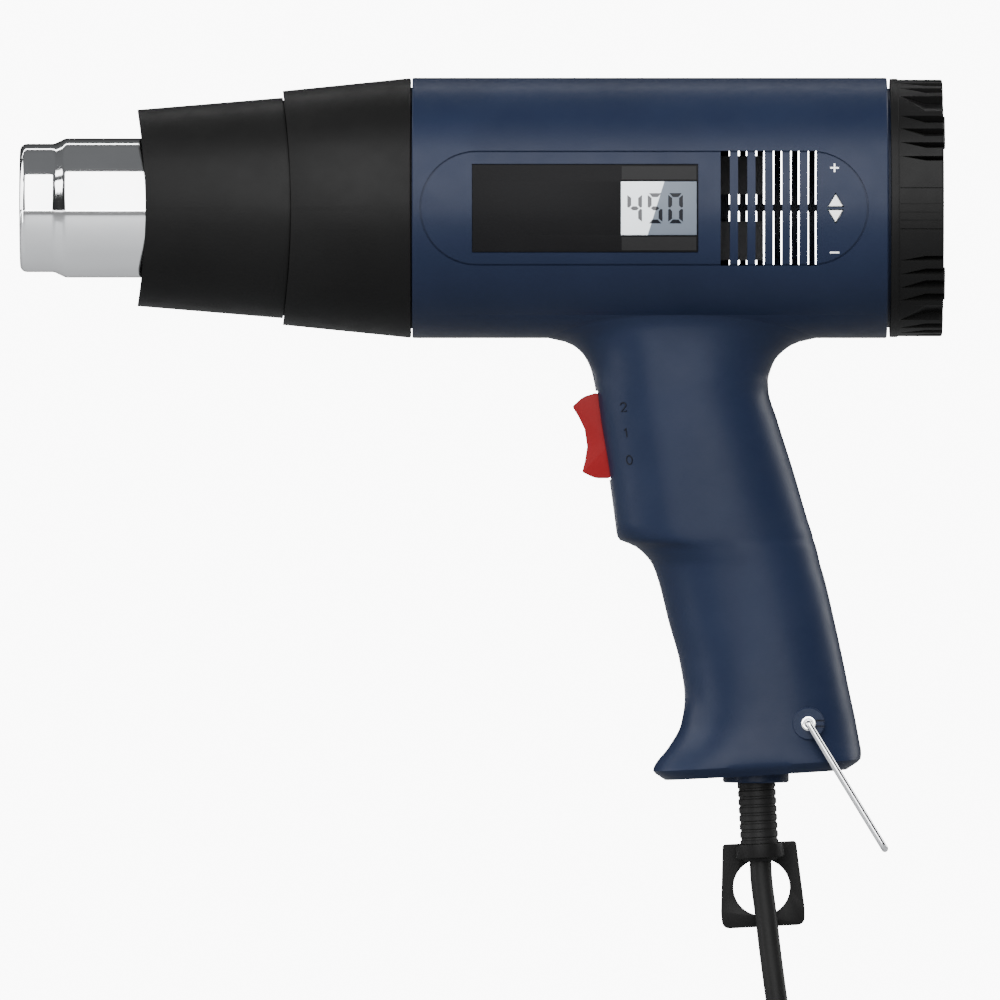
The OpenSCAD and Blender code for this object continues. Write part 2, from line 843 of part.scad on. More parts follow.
module brushes() {
    color([0.12, 0.12, 0.12]) for (side = [-1, 1]) {
        box(motor_rear_x - 5, motor_rear_x + 0.5, -2.5, 2.5,
            axis_z + (side > 0 ? 4.2 + slip : -motor_r + 5 + slip),
            axis_z + (side > 0 ? motor_r - 5 - slip : -4.2 - slip));
    }
}

// Boxes behind the motor, above and below its axis, that carry the brush springs
module brush_holders() {
    x0 = motor_rear_x + end_cap_t;
    color([0.16, 0.16, 0.17]) for (side = [-1, 1]) {
        box(x0, x0 + brush_box_len, -6, 6, axis_z + (side > 0 ? 3.7 : -14.2),
            axis_z + (side > 0 ? 14.2 : -3.7));
    }
}

module damper_ring() {
    color([0.08, 0.08, 0.08]) barrel_ring(motor_x + 4, 8, motor_r + 2, motor_r + 0.05);
}

module motor_spider() {
    ring_r = motor_r + 2.1;
    color([0.3, 0.3, 0.3]) union() {
        barrel_ring(motor_x + 5, 6, ring_r + 2.4, ring_r);
        for (a = [45 : 90 : 315]) {
            along_barrel(motor_x + 5) rotate([0, 0, a]) translate([ring_r + 1.5, -2, 0])
                cube([bore_r - slip - ring_r - 1.9, 4, 6]);
        }
    }
}

// ---------------------------------------------------------------- rear cap

module rear_cap() {
    color(black_plastic) union() {
        difference() {
            barrel_turned([
                [cap_r, cap_x], [cap_r, cap_x + cap_flange], [cap_r - 0.25, cap_x + cap_flange],
                [cap_r - 0.25, cap_rear_x - 1], [cap_r - 1.25, cap_rear_x], [0, cap_rear_x],
                [0, cap_rear_x - cap_plate_t], [cap_r - 5, cap_rear_x - cap_plate_t],
                [cap_r - 5, rear_x + spigot_len + 0.6], [spigot_r + slip, rear_x + spigot_len + 0.6],
                [spigot_r + slip, cap_x]
            ]);
            for (quarter = [0, 180]) for (mirrored = [1, -1]) for (g = cap_grooves) {
                cap_groove_cut(quarter + mirrored * g[0], g[1]);
            }
            for (i = [0 : intake_slots - 1]) {
                rotate_about_barrel(360 * i / intake_slots) intake_slot();
            }
        }
        for (a = [39.5, 140.5, 219.5, 320.5]) {
            rotate_about_barrel(a) cap_foot_pad();
        }
        barrel_disc(cap_rear_x - cap_plate_t, cap_plate_t + 0.2, 8);
    }
}

// Turned round the barrel's axis; 0 points to the display side
module rotate_about_barrel(a) {
    translate([0, 0, axis_z]) rotate([a, 0, 0]) translate([0, 0, -axis_z]) children();
}

module cap_groove_cut(angle, degrees) {
    width = 2 * cap_r * sin(degrees / 2);
    start_x = cap_x + cap_flange + 0.3;
    rotate_about_barrel(angle) translate([0, 0, axis_z - width / 2]) linear_extrude(width)
        polygon([
            [start_x, -cap_r + 0.6], [start_x, -cap_r - 1],
            [cap_rear_x + 1, -cap_r - 1], [cap_rear_x + 1, -cap_r + cap_groove]
        ]);
}

module intake_slot() {
    x0 = cap_rear_x - cap_plate_t - 1;
    x1 = cap_rear_x + 1;
    for (y = [-12, -27.5]) {
        barrel_peg(x0, x1, y);
    }
    box(x0, x1, -27.5, -12, axis_z - 1, axis_z + 1);
}

module barrel_peg(x0, x1, y) {
    translate([x0, y, axis_z]) rotate([0, 90, 0]) cylinder(h = x1 - x0, r = 1);
}

module cap_foot_pad() {
    box(cap_rear_x - 0.3, cap_rear_x + cap_foot, -cap_r + 1.6, -cap_r + 4.6, axis_z - 4.8,
        axis_z + 4.8);
}

module intake_filter() {
    filter_r = cap_r - 5.3;
    color([0.35, 0.36, 0.38]) intersection() {
        barrel_disc(cap_rear_x - cap_plate_t - 1.2, 1.2, filter_r);
        union() {
            barrel_ring(cap_rear_x - cap_plate_t - 1.2, 1.2, filter_r + 1, filter_r - 1.5);
            for (i = [-5 : 5]) {
                box(rear_x, cap_rear_x, i * 5 - 0.4, i * 5 + 0.4, axis_z - far, axis_z + far);
                box(rear_x, cap_rear_x, -far, far, axis_z + i * 5 - 0.4, axis_z + i * 5 + 0.4);
            }
        }
    }
}

// ---------------------------------------------------------------- display side

module label_plate() {
    color([0.12, 0.12, 0.13]) intersection() {
        barrel_ring(label_rear_x - label_len, label_len, barrel_r, barrel_r - label_t);
        difference() {
            box(-far * 3, far, -far, -10, axis_z - label_half, axis_z + label_half);
            box(window_rear_x - window_len - 0.1, window_rear_x + 0.1, -far - 1, -9,
                axis_z - window_h / 2 - 0.1, axis_z + window_h / 2 + 0.1);
        }
    }
}

module display_window() {
    color([0.72, 0.75, 0.8]) intersection() {
        barrel_ring(window_rear_x - window_len, window_len, barrel_r - 0.1, barrel_r - label_t);
        box(-far * 3, far, -far, -10, axis_z - window_h / 2, axis_z + window_h / 2);
    }
}

module display_module() {
    depth = bore_r - 1.6;
    color([0.6, 0.63, 0.66]) box(window_rear_x - window_len - 1, window_rear_x + 1, -depth,
        -board_y, axis_z - window_h / 2 - 1.2, axis_z + window_h / 2 + 1.2);
}

module display_board() {
    color(board_green) box(window_rear_x - window_len - 16, window_rear_x + 4, -board_y,
        -board_y + board_t, axis_z - display_board_h / 2, axis_z + display_board_h / 2);
}

module button_board() {
    color(board_green) box(button_x - 3, button_x + 6, -board_y, -board_y + board_t,
        axis_z - 9, axis_z + 9);
}

function button_mid(direction) = axis_z + direction * (button_gap / 2 + button_size * 0.3);

module push_switches() {
    color([0.2, 0.2, 0.2]) for (d = [-1, 1]) {
        box(button_x - 1.6, button_x + 1.6, -board_y - 2.4, -board_y,
            button_mid(d) - 1.3, button_mid(d) + 1.3);
    }
}

module button(direction) {
    top_y = barrel_r + 0.4;
    flange_y = bore_r - 0.9;
    mid = button_mid(direction);
    union() {
        button_prism(direction, -top_y, -flange_y, 0);
        box(button_x - 2.7, button_x + 2.7, -flange_y, -flange_y + 1, mid - 1.1, mid + 1.1);
        across(button_x, mid, -flange_y, -board_y - 2.4 - button_travel - slip, 0.9);
    }
}

module button_up() { color([0.93, 0.93, 0.93]) button(1); }

module button_down() { color([0.93, 0.93, 0.93]) button(-1); }

// ---------------------------------------------------------------- rocker switch

module switch_body() {
    color(black_plastic) at_switch() difference() {
        box(0.4, switch_depth, -switch_half_y, switch_half_y, -switch_half_z, switch_half_z);
        box(-1, 8, -switch_half_y + switch_wall, switch_half_y - switch_wall,
            -switch_half_z + switch_wall, switch_half_z - switch_wall);
        across(rocker_pin_x, 0, -far, far, rocker_pin_d / 2 + run_fit / 2);
    }
}

module rocker_pin() {
    color(steel) at_switch() across(rocker_pin_x, 0, -switch_half_y + 0.1, switch_half_y - 0.1,
        rocker_pin_d / 2);
}

module rocker() {
    h = rocker_len / 2;
    color([0.72, 0.19, 0.19]) at_switch() difference() {
        translate([0, rocker_w / 2, 0]) rotate([90, 0, 0]) linear_extrude(rocker_w) polygon([
            [-0.4, h], [-4.2, h - 0.8], [-horn_h, h - 2.7], [-5.6, h - 6], [-4.75, 2.8],
            [-4.75, -2.8], [-5.6, 6 - h], [-horn_h, 2.7 - h], [-4.2, 0.8 - h], [-0.4, -h],
            [1.4, -h + 0.6], [3.4, -5], [6, -2.6], [6, 2.6], [3.4, 5], [1.4, h - 0.6]
        ]);
        across(rocker_pin_x, 0, -far, far, rocker_pin_d / 2 + run_fit);
    }
}

module switch_terminals() {
    color(brass) at_switch() for (z = [-7.5, -2.5, 2.5, 7.5]) {
        box(switch_depth, switch_depth + 6, -2.4, 2.4, z - 0.4, z + 0.4);
    }
}

// ---------------------------------------------------------------- inside the grip

module control_board() {
    color(board_green) box(-12, 10, control_board_y, control_board_y + board_t,
        control_board_z, control_board_z + control_board_h);
}

module capacitor() {
    color([0.75, 0.6, 0.2]) across(-7.4, control_board_z + 10, control_board_y - 12,
        control_board_y, 5);
}

module triac() {
    color([0.1, 0.1, 0.1]) box(-1, 4, control_board_y - 9, control_board_y,
        control_board_z + 28, control_board_z + 38);
}

module heat_sink() {
    color(polished) union() {
        box(4, 5.6, control_board_y - 15, control_board_y, control_board_z + 24,
            control_board_z + 42);
        for (i = [0 : 3]) {
            box(5.5, 9.4, control_board_y - 15 + i * 4, control_board_y - 13.8 + i * 4,
                control_board_z + 24, control_board_z + 42);
        }
    }
}

// The cord's end inside the strain relief
module lead_end() {
    color(black_plastic) at_outlet() translate([0, 0, -relief_len])
        cylinder(h = relief_len + lead_top, r = cord_r);
}

// Points [x, z] of a conductor that runs in a plane along the gun
function in_plane(points, y) = [for (p = points) [p[0], y, p[1]]];

module inner_wires() {
    color([0.55, 0.16, 0.12]) for (side = [-1, 1]) {
        route_tube(in_plane(switch_wires, side * 1.35), 0.9, 8);
        route_tube(in_plane(motor_wires, side * 3), 0.9, 8);
    }
}

module cord_clamp() {
    color([0.85, 0.85, 0.85]) difference() {
        box(exit_x - clamp_half, exit_x + clamp_half, 0, 5.4, clamp_z - 3, clamp_z + 3);
        at_outlet() translate([0, 0, -5]) cylinder(h = 40, r = cord_r + 0.02);
        for (s = [-1, 1]) {
            across(exit_x + s * clamp_screw_x, clamp_z, -1, far, screw_r + run_fit);
        }
    }
}

module clamp_screws() {
    color(steel) for (s = [-1, 1]) {
        x = exit_x + s * clamp_screw_x;
        across(x, clamp_z, 5.4, 7.2, screw_head_r);
        across(x, clamp_z, -6, 6, screw_r);
    }
}

module housing_screws() {
    color(steel) for (p = screw_places) {
        across(p[0], p[1], screw_seat_y, screw_seat_y + 2, screw_head_r);
        across(p[0], p[1], -8, screw_seat_y + 1, screw_r);
    }
}

// ---------------------------------------------------------------- stand

module stand_eyelets() {
    color(polished) for (side = [-1, 1]) {
        translate([stand_x, side * stand_face_y, stand_z]) rotate([side * -90, 0, 0])
            translate([0, 0, -5.5]) difference() {
                union() {
                    cylinder(h = 5.6, r = stand_wire_r + run_fit + 0.55);
                    translate([0, 0, 5.5]) cylinder(h = eyelet_flange, r = 2);
                }
                translate([0, 0, -1]) cylinder(h = 8, r = stand_wire_r + run_fit);
            }
    }
}

module wire_stand() {
    bend = 4;
    r = stand_wire_r;
    color(polished) at_stand() union() {
        for (side = [-1, 1]) {
            translate([0, side * stand_leg_y, 0]) rotate([0, 90, 0])
                cylinder(h = stand_len - bend, r = r);
            translate([0, side * stand_leg_y, 0]) sphere(r = r, $fn = 32);
            translate([0, side * stand_leg_y, 0]) rotate([side * 90, 0, 0])
                cylinder(h = stand_pin_len, r = r);
            translate([stand_len - bend, side * (stand_leg_y - bend), 0])
                mirror([0, side > 0 ? 0 : 1, 0]) rotate_extrude(angle = 90)
                translate([bend, 0]) circle(r = r, $fn = 24);
        }
        translate([stand_len, -stand_leg_y + bend, 0]) rotate([-90, 0, 0])
            cylinder(h = 2 * (stand_leg_y - bend), r = r);
    }
}

// ---------------------------------------------------------------- cord outlet

module strain_relief() {
    color(black_plastic) at_outlet() rotate_extrude() polygon([
        [cord_r + 0.01, 4.4], [relief_r + 2, 4.4], [relief_r + 2, 2.8], [relief_r, 2.8],
        [relief_r, -ring_top], [groove_r, -ring_top], [groove_r, -ring_top - ring_len - 0.1],
        [relief_r - 0.2, -ring_top - ring_len - 0.1], [relief_r - 0.4, -relief_len],
        [cord_r + 0.01, -relief_len]
    ]);
}

module hanger() {
    ring_in = groove_r + 0.08;
    z0 = -ring_top - ring_len;
    color(black_plastic) at_outlet() difference() {
        union() {
            translate([0, 0, z0]) cylinder(h = ring_len - 0.1, r = ring_r);
            translate([0, plate_y + hanger_t, 0]) rotate([90, 0, 0]) linear_extrude(hanger_t)
                union() {
                    polygon([
                        [-plate_w / 2, -ring_top - 0.1], [plate_w / 2, -ring_top - 0.1],
                        [plate_w / 2 + 1.2, -ring_top - plate_h + 4.6],
                        [plate_w / 2 - 3.4, -ring_top - plate_h],
                        [3.4 - plate_w / 2, -ring_top - plate_h],
                        [-plate_w / 2 - 1.2, -ring_top - plate_h + 4.6]
                    ]);
                    for (s = [-1, 1]) {
                        translate([s * (plate_w / 2 - 3.4), -ring_top - plate_h + 4.6])
                            circle(r = 4.6);
                    }
                }
        }
        translate([0, 0, z0 - 1]) cylinder(h = ring_len + 2, r = ring_in);
        across(0, -ring_top - hole_drop, plate_y - 1, plate_y + hanger_t + 1, hang_hole_d / 2);
    }
}

// ---------------------------------------------------------------- cord

function unit(v) = v / norm(v);

function heading(route, i) =
    unit(route[min(i + 1, len(route) - 1)] - route[max(i - 1, 0)]);

// Tube through a route's own points
module route_tube(route, r, n) {
    last = len(route) - 1;
    polyhedron(
        points = [for (i = [0 : last]) let (
                d = heading(route, i),
                u = unit(cross([0, 1, 0], d)),
                v = cross(d, u)
            ) for (k = [0 : n - 1])
            route[i] + r * (cos(360 * k / n) * u + sin(360 * k / n) * v)],
        faces = concat(
            [[for (k = [0 : n - 1]) k]],
            [[for (k = [n - 1 : -1 : 0]) last * n + k]],
            [for (i = [0 : last - 1]) for (k = [0 : n - 1])
                [i * n + k, (i + 1) * n + k, (i + 1) * n + (k + 1) % n, i * n + (k + 1) % n]]
        )
    );
}

module cord() { color(black_plastic) route_tube(cord_route, cord_r, cord_sides); }

module cord_tail() { color(black_plastic) route_tube(tail_route, cord_r, cord_sides); }

// Outer shape of the coil's strands
module cord_coil() {
    color(black_plastic) translate([coil_x, 0, coil_z]) rotate([90, 0, 0]) rotate_extrude()
        translate([coil_mean_r, 0]) circle(r = bundle_r);
}

// Band round the coil at its top
module cord_tie() {
    width = 8;
    color([0.09, 0.09, 0.09]) translate([coil_x - width / 2, 0, coil_z + coil_mean_r])
        rotate([0, 90, 0]) difference() {
            cylinder(h = width, r = bundle_r + slip * 2 + 1.2);
            translate([0, 0, -1]) cylinder(h = width + 2, r = bundle_r + slip * 2);
        }
}

module plug_body() {
    color(black_plastic) translate([plug_x, plug_y, plug_z]) rotate([180, 0, 0]) difference() {
        rotate_extrude() polygon([
            [0, 0], [4.6, 0], [5.2, 12], [8, 17], [16, 20], [18.4, 23], [18.4, 36], [0, 36]
        ]);
        for (s = [-1, 1]) {
            box(-far, far, s > 0 ? 14 : -far, s > 0 ? far : -14, 15, 40);
        }
    }
}

module plug_pins() {
    color(polished) for (s = [-1, 1]) {
        translate([plug_x + s * 9.5, plug_y, plug_z - 36 - 19]) cylinder(h = 19, r = 2.4);
        translate([plug_x + s * 9.5, plug_y, plug_z - 36 - 19]) sphere(r = 2.4, $fn = 32);
    }
}

housing_left();
housing_right();
front_collar();
front_sleeve();
nozzle_tube();
rear_cap();
intake_filter();
label_plate();
display_window();
display_module();
display_board();
button_board();
push_switches();
button_up();
button_down();
switch_body();
rocker_pin();
rocker();
switch_terminals();
mica_tube();
element_former();
heating_coil();
thermocouple();
tube_screws();
air_funnel();
fan();
rotor_shaft();
armature();
commutator();
motor_can();
magnets();
motor_bushes();
motor_end_cap();
brushes();
brush_holders();
damper_ring();
motor_spider();
control_board();
capacitor();
triac();
heat_sink();
lead_end();
inner_wires();
cord_clamp();
clamp_screws();
housing_screws();
stand_eyelets();
wire_stand();
strain_relief();
hanger();
cord();
cord_coil();
cord_tail();
cord_tie();
plug_body();
plug_pins();
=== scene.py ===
"""Looks of a pistol-shaped heat gun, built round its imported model.

Every length inside a sub-assembly is in millimetres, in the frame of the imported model: the
nozzle points to -X, the display faces -Y, Z is up, and the origin is the middle of the grip.
A mesh is scaled to metres when it leaves the bench.
"""

from __future__ import annotations

import json
import logging
import math
from dataclasses import dataclass, field
from enum import Enum
from typing import Any, Callable, Iterable, Sequence

import bmesh
import bpy
from mathutils import Matrix, Vector
from mathutils.bvhtree import BVHTree

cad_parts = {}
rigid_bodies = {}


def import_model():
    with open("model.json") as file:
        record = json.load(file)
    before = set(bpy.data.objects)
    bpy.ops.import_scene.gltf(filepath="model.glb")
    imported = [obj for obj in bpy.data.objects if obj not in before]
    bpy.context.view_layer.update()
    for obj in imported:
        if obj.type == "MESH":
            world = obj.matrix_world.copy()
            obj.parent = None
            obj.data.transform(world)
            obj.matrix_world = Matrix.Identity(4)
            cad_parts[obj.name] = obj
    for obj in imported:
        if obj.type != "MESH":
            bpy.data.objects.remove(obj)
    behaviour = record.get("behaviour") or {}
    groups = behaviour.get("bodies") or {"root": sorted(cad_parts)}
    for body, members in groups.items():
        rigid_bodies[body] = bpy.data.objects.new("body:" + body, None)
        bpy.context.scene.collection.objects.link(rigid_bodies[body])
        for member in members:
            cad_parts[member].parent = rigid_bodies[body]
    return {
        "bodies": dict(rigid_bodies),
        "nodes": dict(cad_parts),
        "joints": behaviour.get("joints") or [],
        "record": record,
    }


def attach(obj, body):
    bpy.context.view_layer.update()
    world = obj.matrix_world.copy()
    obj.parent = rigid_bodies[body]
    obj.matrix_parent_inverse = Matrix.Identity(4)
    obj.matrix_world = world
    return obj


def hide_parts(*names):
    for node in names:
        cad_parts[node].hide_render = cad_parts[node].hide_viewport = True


LOG = logging.getLogger("heat_gun")
MM = 0.001
BARREL_Z = 110.0
Point = tuple[float, float, float]
Flat = tuple[float, float]

# Places that two or more sub-assemblies share
BARREL_R = 35.5
LABEL: Flat = (-74.6, -13.45)
LABEL_HALF = 11.9
SWITCH: Flat = (-39.0, 48.0)
SWITCH_TILT = 8.53
STAND_PIVOT: Flat = (16.8, -30.2)
OUTLET: Flat = (2.65, -44.0)


class Side(Enum):
    """Sides of the gun, as the sign of Y."""

    DISPLAY = -1
    FAR = 1


@dataclass(frozen=True)
class Arrow:
    """Triangle of the up and the down button, its foot near the barrel's middle."""

    x: float = 23.95
    foot: float = 1.9
    start: float = 0.55
    rise: float = 3.2


# ------------------------------------------------------------------ shader expressions


class Wire:
    """One shader socket that stands in a Python expression."""

    def __init__(self, desk: "Desk", socket: bpy.types.NodeSocket) -> None:
        """Keeps the desk that the socket's node lies on, and the socket."""
        self.desk = desk
        self.socket = socket

    def _math(self, operation: str, *values: Any) -> "Wire":
        """Adds a Math node.

        Args:
            operation: the node's operation.
            values: its inputs in order, as numbers or wires.

        Returns:
            The node's output.
        """
        sockets = {i: v for i, v in enumerate(values)}
        return self.desk.node("ShaderNodeMath", {"operation": operation}, sockets)

    def __add__(self, other: Any) -> "Wire":
        """Sum."""
        return self._math("ADD", self, other)

    def __radd__(self, other: Any) -> "Wire":
        """Sum with a number on the left."""
        return self._math("ADD", other, self)

    def __sub__(self, other: Any) -> "Wire":
        """Difference."""
        return self._math("SUBTRACT", self, other)

    def __rsub__(self, other: Any) -> "Wire":
        """Difference from a number on the left."""
        return self._math("SUBTRACT", other, self)

    def __mul__(self, other: Any) -> "Wire":
        """Product."""
        return self._math("MULTIPLY", self, other)

    def __rmul__(self, other: Any) -> "Wire":
        """Product with a number on the left."""
        return self._math("MULTIPLY", other, self)

    def __truediv__(self, other: Any) -> "Wire":
        """Quotient."""
        return self._math("DIVIDE", self, other)

    def __abs__(self) -> "Wire":
        """Absolute value."""
        return self._math("ABSOLUTE", self)

    def wave(self) -> "Wire":
        """Sine of the value, from 0 to 1."""
        return self._math("SINE", self) * 0.5 + 0.5

    def ramp(self, low: float, high: float) -> "Wire":
        """0 below low, 1 above high, and smooth between."""
        return self.desk.node(
            "ShaderNodeMapRange",
            {"interpolation_type": "SMOOTHSTEP"},
            {"Value": self, "From Min": low, "From Max": high},
        )


class Desk:
    """A material's node tree, with one method that adds any node."""

    def __init__(self, name: str) -> None:
        """Starts an empty material."""
        self.material = bpy.data.materials.new(name)
        self.material.use_nodes = True
        self.tree = self.material.node_tree
        self.tree.nodes.clear()
        self._places: Wire | None = None

    def node(
        self,
        kind: str,
        settings: dict[str, Any] | None = None,
        sockets: dict[Any, Any] | None = None,
        out: int | str = 0,
    ) -> Wire:
        """Adds one node.

        Args:
            kind: the node's type.
            settings: its properties, set first; a ramp's "stops" are (place, colour) pairs.
            sockets: numbers, colours or wires by socket name or index.
            out: the output to return.

        Returns:
            That output as a wire.
        """
        made = self.tree.nodes.new(kind)
        for key, value in (settings or {}).items():
            if key == "stops":
                self._stops(made, value)
            else:
                setattr(made, key, value)
        for key, value in (sockets or {}).items():
            target = made.inputs[key]
            if isinstance(value, Wire):
                self.tree.links.new(value.socket, target)
            elif isinstance(value, tuple) and len(value) == 3 and target.type == "RGBA":
                target.default_value = (*value, 1.0)
            else:
                target.default_value = value
        return Wire(self, made.outputs[out]) if len(made.outputs) else Wire(self, None)

    @staticmethod
    def _stops(made: bpy.types.Node, stops: Sequence[tuple[float, Any]]) -> None:
        """Sets a colour ramp's stops."""
        elements = made.color_ramp.elements
        while len(elements) < len(stops):
            elements.new(0.5)
        for element, (place, colour) in zip(elements, stops):
            element.position = place
            element.color = (*colour, 1.0)

    def places(self) -> Wire:
        """Object coordinates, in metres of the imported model's frame."""
        if self._places is None:
            self._places = self.node("ShaderNodeTexCoord", out="Object")
        return self._places

    def axis(self, name: str) -> Wire:
        """One of the object coordinates, X, Y or Z, in millimetres."""
        split = self.node("ShaderNodeSeparateXYZ", sockets={0: self.places()}, out=name)
        return split * (1.0 / MM)

    def noise(self, per_mm: float, detail: float = 2.0, stretch: Point = (1, 1, 1)) -> Wire:
        """Noise over the object's own space.

        Args:
            per_mm: how many cells there are to a millimetre.
            detail: finer octaves.
            stretch: scale of each axis.

        Returns:
            The noise, from 0 to 1.
        """
        scaled = self.node(
            "ShaderNodeMapping", sockets={"Vector": self.places(), "Scale": Vector(stretch)}
        )
        return self.node(
            "ShaderNodeTexNoise",
            sockets={"Vector": scaled, "Scale": per_mm / MM, "Detail": detail},
        )

    def blend(self, amount: Any, low: Any, high: Any) -> Wire:
        """Mixes two colours by an amount from 0 to 1."""
        return self.node(
            "ShaderNodeMix",
            {"data_type": "RGBA"},
            {0: amount, 6: low, 7: high},
            out=2,
        )

    def bump(self, height: Wire, depth_mm: float, strength: float = 1.0) -> Wire:
        """Normal of a height from 0 to 1 that is worth a depth."""
        return self.node(
            "ShaderNodeBump",
            sockets={"Height": height, "Distance": depth_mm * MM, "Strength": strength},
        )

    def shade(self, **inputs: Any) -> bpy.types.Material:
        """Closes the material with one principled shader; underscores stand for spaces."""
        named = {key.replace("_", " "): value for key, value in inputs.items()}
        shader = self.node("ShaderNodeBsdfPrincipled", sockets=named)
        self.node("ShaderNodeOutputMaterial", sockets={"Surface": shader})
        return self.material


# ------------------------------------------------------------------ finishes


@dataclass(frozen=True)
class MouldedPlastic:
    """Moulded plastic with a spark-eroded grain and the faint handling marks of use."""

    name: str
    colour: Point
    dark: Point
    roughness: float = 0.42
    grain_per_mm: float = 2.2
    grain_mm: float = 0.02
    coat: float = 0.0
    coat_roughness: float = 0.3
    specular: float = 0.1

    def material(self) -> bpy.types.Material:
        """Makes the material."""
        desk = Desk(self.name)
        cloud = desk.noise(0.035, 3.0)
        handled = desk.noise(0.16, 4.0)
        grain = desk.noise(self.grain_per_mm, 2.0)
        fine = desk.noise(self.grain_per_mm * 2.6, 1.0)
        return desk.shade(
            Base_Color=desk.blend(cloud.ramp(0.35, 0.68), self.dark, self.colour),
            Roughness=handled.ramp(0.3, 0.75) * 0.07 + (self.roughness - 0.03) + fine * 0.03,
            Normal=desk.bump(grain * 0.75 + fine * 0.25, self.grain_mm, 0.6),
            Coat_Weight=self.coat,
            Coat_Roughness=self.coat_roughness,
            Specular_IOR_Level=self.specular,
        )


@dataclass(frozen=True)
class PolishedSteel:
    """Bright steel or plating, with the faint lines that turning and polishing leave."""

    name: str
    colour: Point = (0.78, 0.79, 0.81)
    roughness: float = 0.1
    lines_per_mm: float = 5.0
    line_mm: float = 0.004
    along: Point = (1.0, 0.02, 0.02)

    def material(self) -> bpy.types.Material:
        """Makes the material."""
        desk = Desk(self.name)
        lines = desk.noise(self.lines_per_mm, 2.0, self.along)
        cloud = desk.noise(0.06, 3.0)
        tint = tuple(c * 0.94 for c in self.colour)
        return desk.shade(
            Base_Color=desk.blend(cloud.ramp(0.3, 0.7), tint, self.colour),
            Metallic=1.0,
            Roughness=self.roughness * 0.75 + lines * (self.roughness * 0.4) + cloud * 0.02,
            Normal=desk.bump(lines, self.line_mm, 0.5),
        )


# ------------------------------------------------------------------ bench


def along(direction: Sequence[float], up: Sequence[float] = (0.0, 0.0, 1.0)) -> Matrix:
    """Turn that takes Z to a direction, with X kept as near to across it as can be."""
    z = Vector(direction).normalized()
    x = Vector(up).cross(z)
    if x.length < 1e-6:
        x = Vector((1.0, 0.0, 0.0))
    x.normalize()
    return Matrix((x, z.cross(x), z)).transposed().to_4x4()


def vertices_of(made: Iterable[Any]) -> list[bmesh.types.BMVert]:
    """The vertices among an operator's results."""
    return [v for v in made if isinstance(v, bmesh.types.BMVert)]


def chain(bm: bmesh.types.BMesh, points: Iterable[Sequence[float]], closed: bool = False) -> list:
    """Lays an open or closed chain of edges through points.

    Returns:
        The chain's vertices and edges.
    """
    verts = [bm.verts.new(p) for p in points]
    pairs = list(zip(verts, verts[1:] + verts[:1] if closed else verts[1:]))
    return verts + [bm.edges.new(pair) for pair in pairs]


def tidy(bm: bmesh.types.BMesh, reach: float = 1e-4) -> bmesh.types.BMesh:
    """Merges doubles and points the faces outwards."""
    bmesh.ops.remove_doubles(bm, verts=bm.verts, dist=reach)
    bmesh.ops.recalc_face_normals(bm, faces=bm.faces)
    return bm


def turned(profile: Sequence[Flat], steps: int = 192, centre: Point = (0.0, 0.0, BARREL_Z),
           axis: Point = (1.0, 0.0, 0.0)) -> bmesh.types.BMesh:
    """Turns a profile into a closed solid of revolution.

    Args:
        profile: (place along the axis, radius) pairs; ends off the axis are joined up.
        steps: how many steps a full turn has.
        centre: a point on the axis.
        axis: the axis.

    Returns:
        The solid.
    """
    bm = bmesh.new()
    frame = Matrix.Translation(centre) @ along(axis)
    on_axis = profile[0][1] < 1e-6 and profile[-1][1] < 1e-6
    places = [frame @ Vector((r, 0.0, x)) for x, r in profile]
    ring = chain(bm, places, closed=not on_axis)
    bmesh.ops.spin(bm, geom=ring, cent=centre, axis=axis, angle=math.tau, steps=steps,
                   use_merge=True)
    return tidy(bm)


def prism(outline: Sequence[Sequence[float]], push: Sequence[float]) -> bmesh.types.BMesh:
    """Pushes a flat outline into a solid.

    Args:
        outline: the outline's points.
        push: the way and distance that it is pushed.

    Returns:
        The solid.
    """
    bm = bmesh.new()
    face = bm.faces.new([bm.verts.new(p) for p in outline])
    made = bmesh.ops.extrude_face_region(bm, geom=[face], use_keep_orig=True)["geom"]
    bmesh.ops.translate(bm, verts=vertices_of(made), vec=push)
    return tidy(bm)


def block(low: Sequence[float], high: Sequence[float]) -> bmesh.types.BMesh:
    """Box between two corners."""
    bm = bmesh.new()
    size = [h - l for l, h in zip(low, high)]
    middle = [(l + h) / 2 for l, h in zip(low, high)]
    matrix = Matrix.Translation(middle) @ Matrix.Diagonal((*size, 1.0))
    bmesh.ops.create_cube(bm, size=1.0, matrix=matrix)
    return bm


def rod(start: Sequence[float], end: Sequence[float], radius: float, sides: int = 48,
        end_radius: float | None = None) -> bmesh.types.BMesh:
    """Round bar between two points, tapered if the end has a radius of its own."""
    bm = bmesh.new()
    a, b = Vector(start), Vector(end)
    matrix = Matrix.Translation((a + b) / 2) @ along(b - a)
    last = radius if end_radius is None else end_radius
    bmesh.ops.create_cone(bm, cap_ends=True, segments=sides, radius1=radius, radius2=last,
                          depth=(b - a).length, matrix=matrix)
    return bm


def soften(bm: bmesh.types.BMesh, width: float, segments: int = 2, least: float = 28.0,
           keep: Callable[[bmesh.types.BMEdge], bool] | None = None) -> bmesh.types.BMesh:
    """Bevels the edges that turn by more than an angle.

    Args:
        bm: the solid.
        width: the bevel's width.
        segments: its steps.
        least: the least turn of an edge that is bevelled, in degrees.
        keep: an optional test that picks among those edges.

    Returns:
        The same solid.
    """
    sharp = [
        e for e in bm.edges
        if len(e.link_faces) == 2 and e.calc_face_angle() > math.radians(least)
        and (keep is None or keep(e))
    ]
    bmesh.ops.bevel(bm, geom=sharp, offset=width, segments=segments, profile=0.5,
                    affect="EDGES", material=-1, clamp_overlap=True)
    return bm


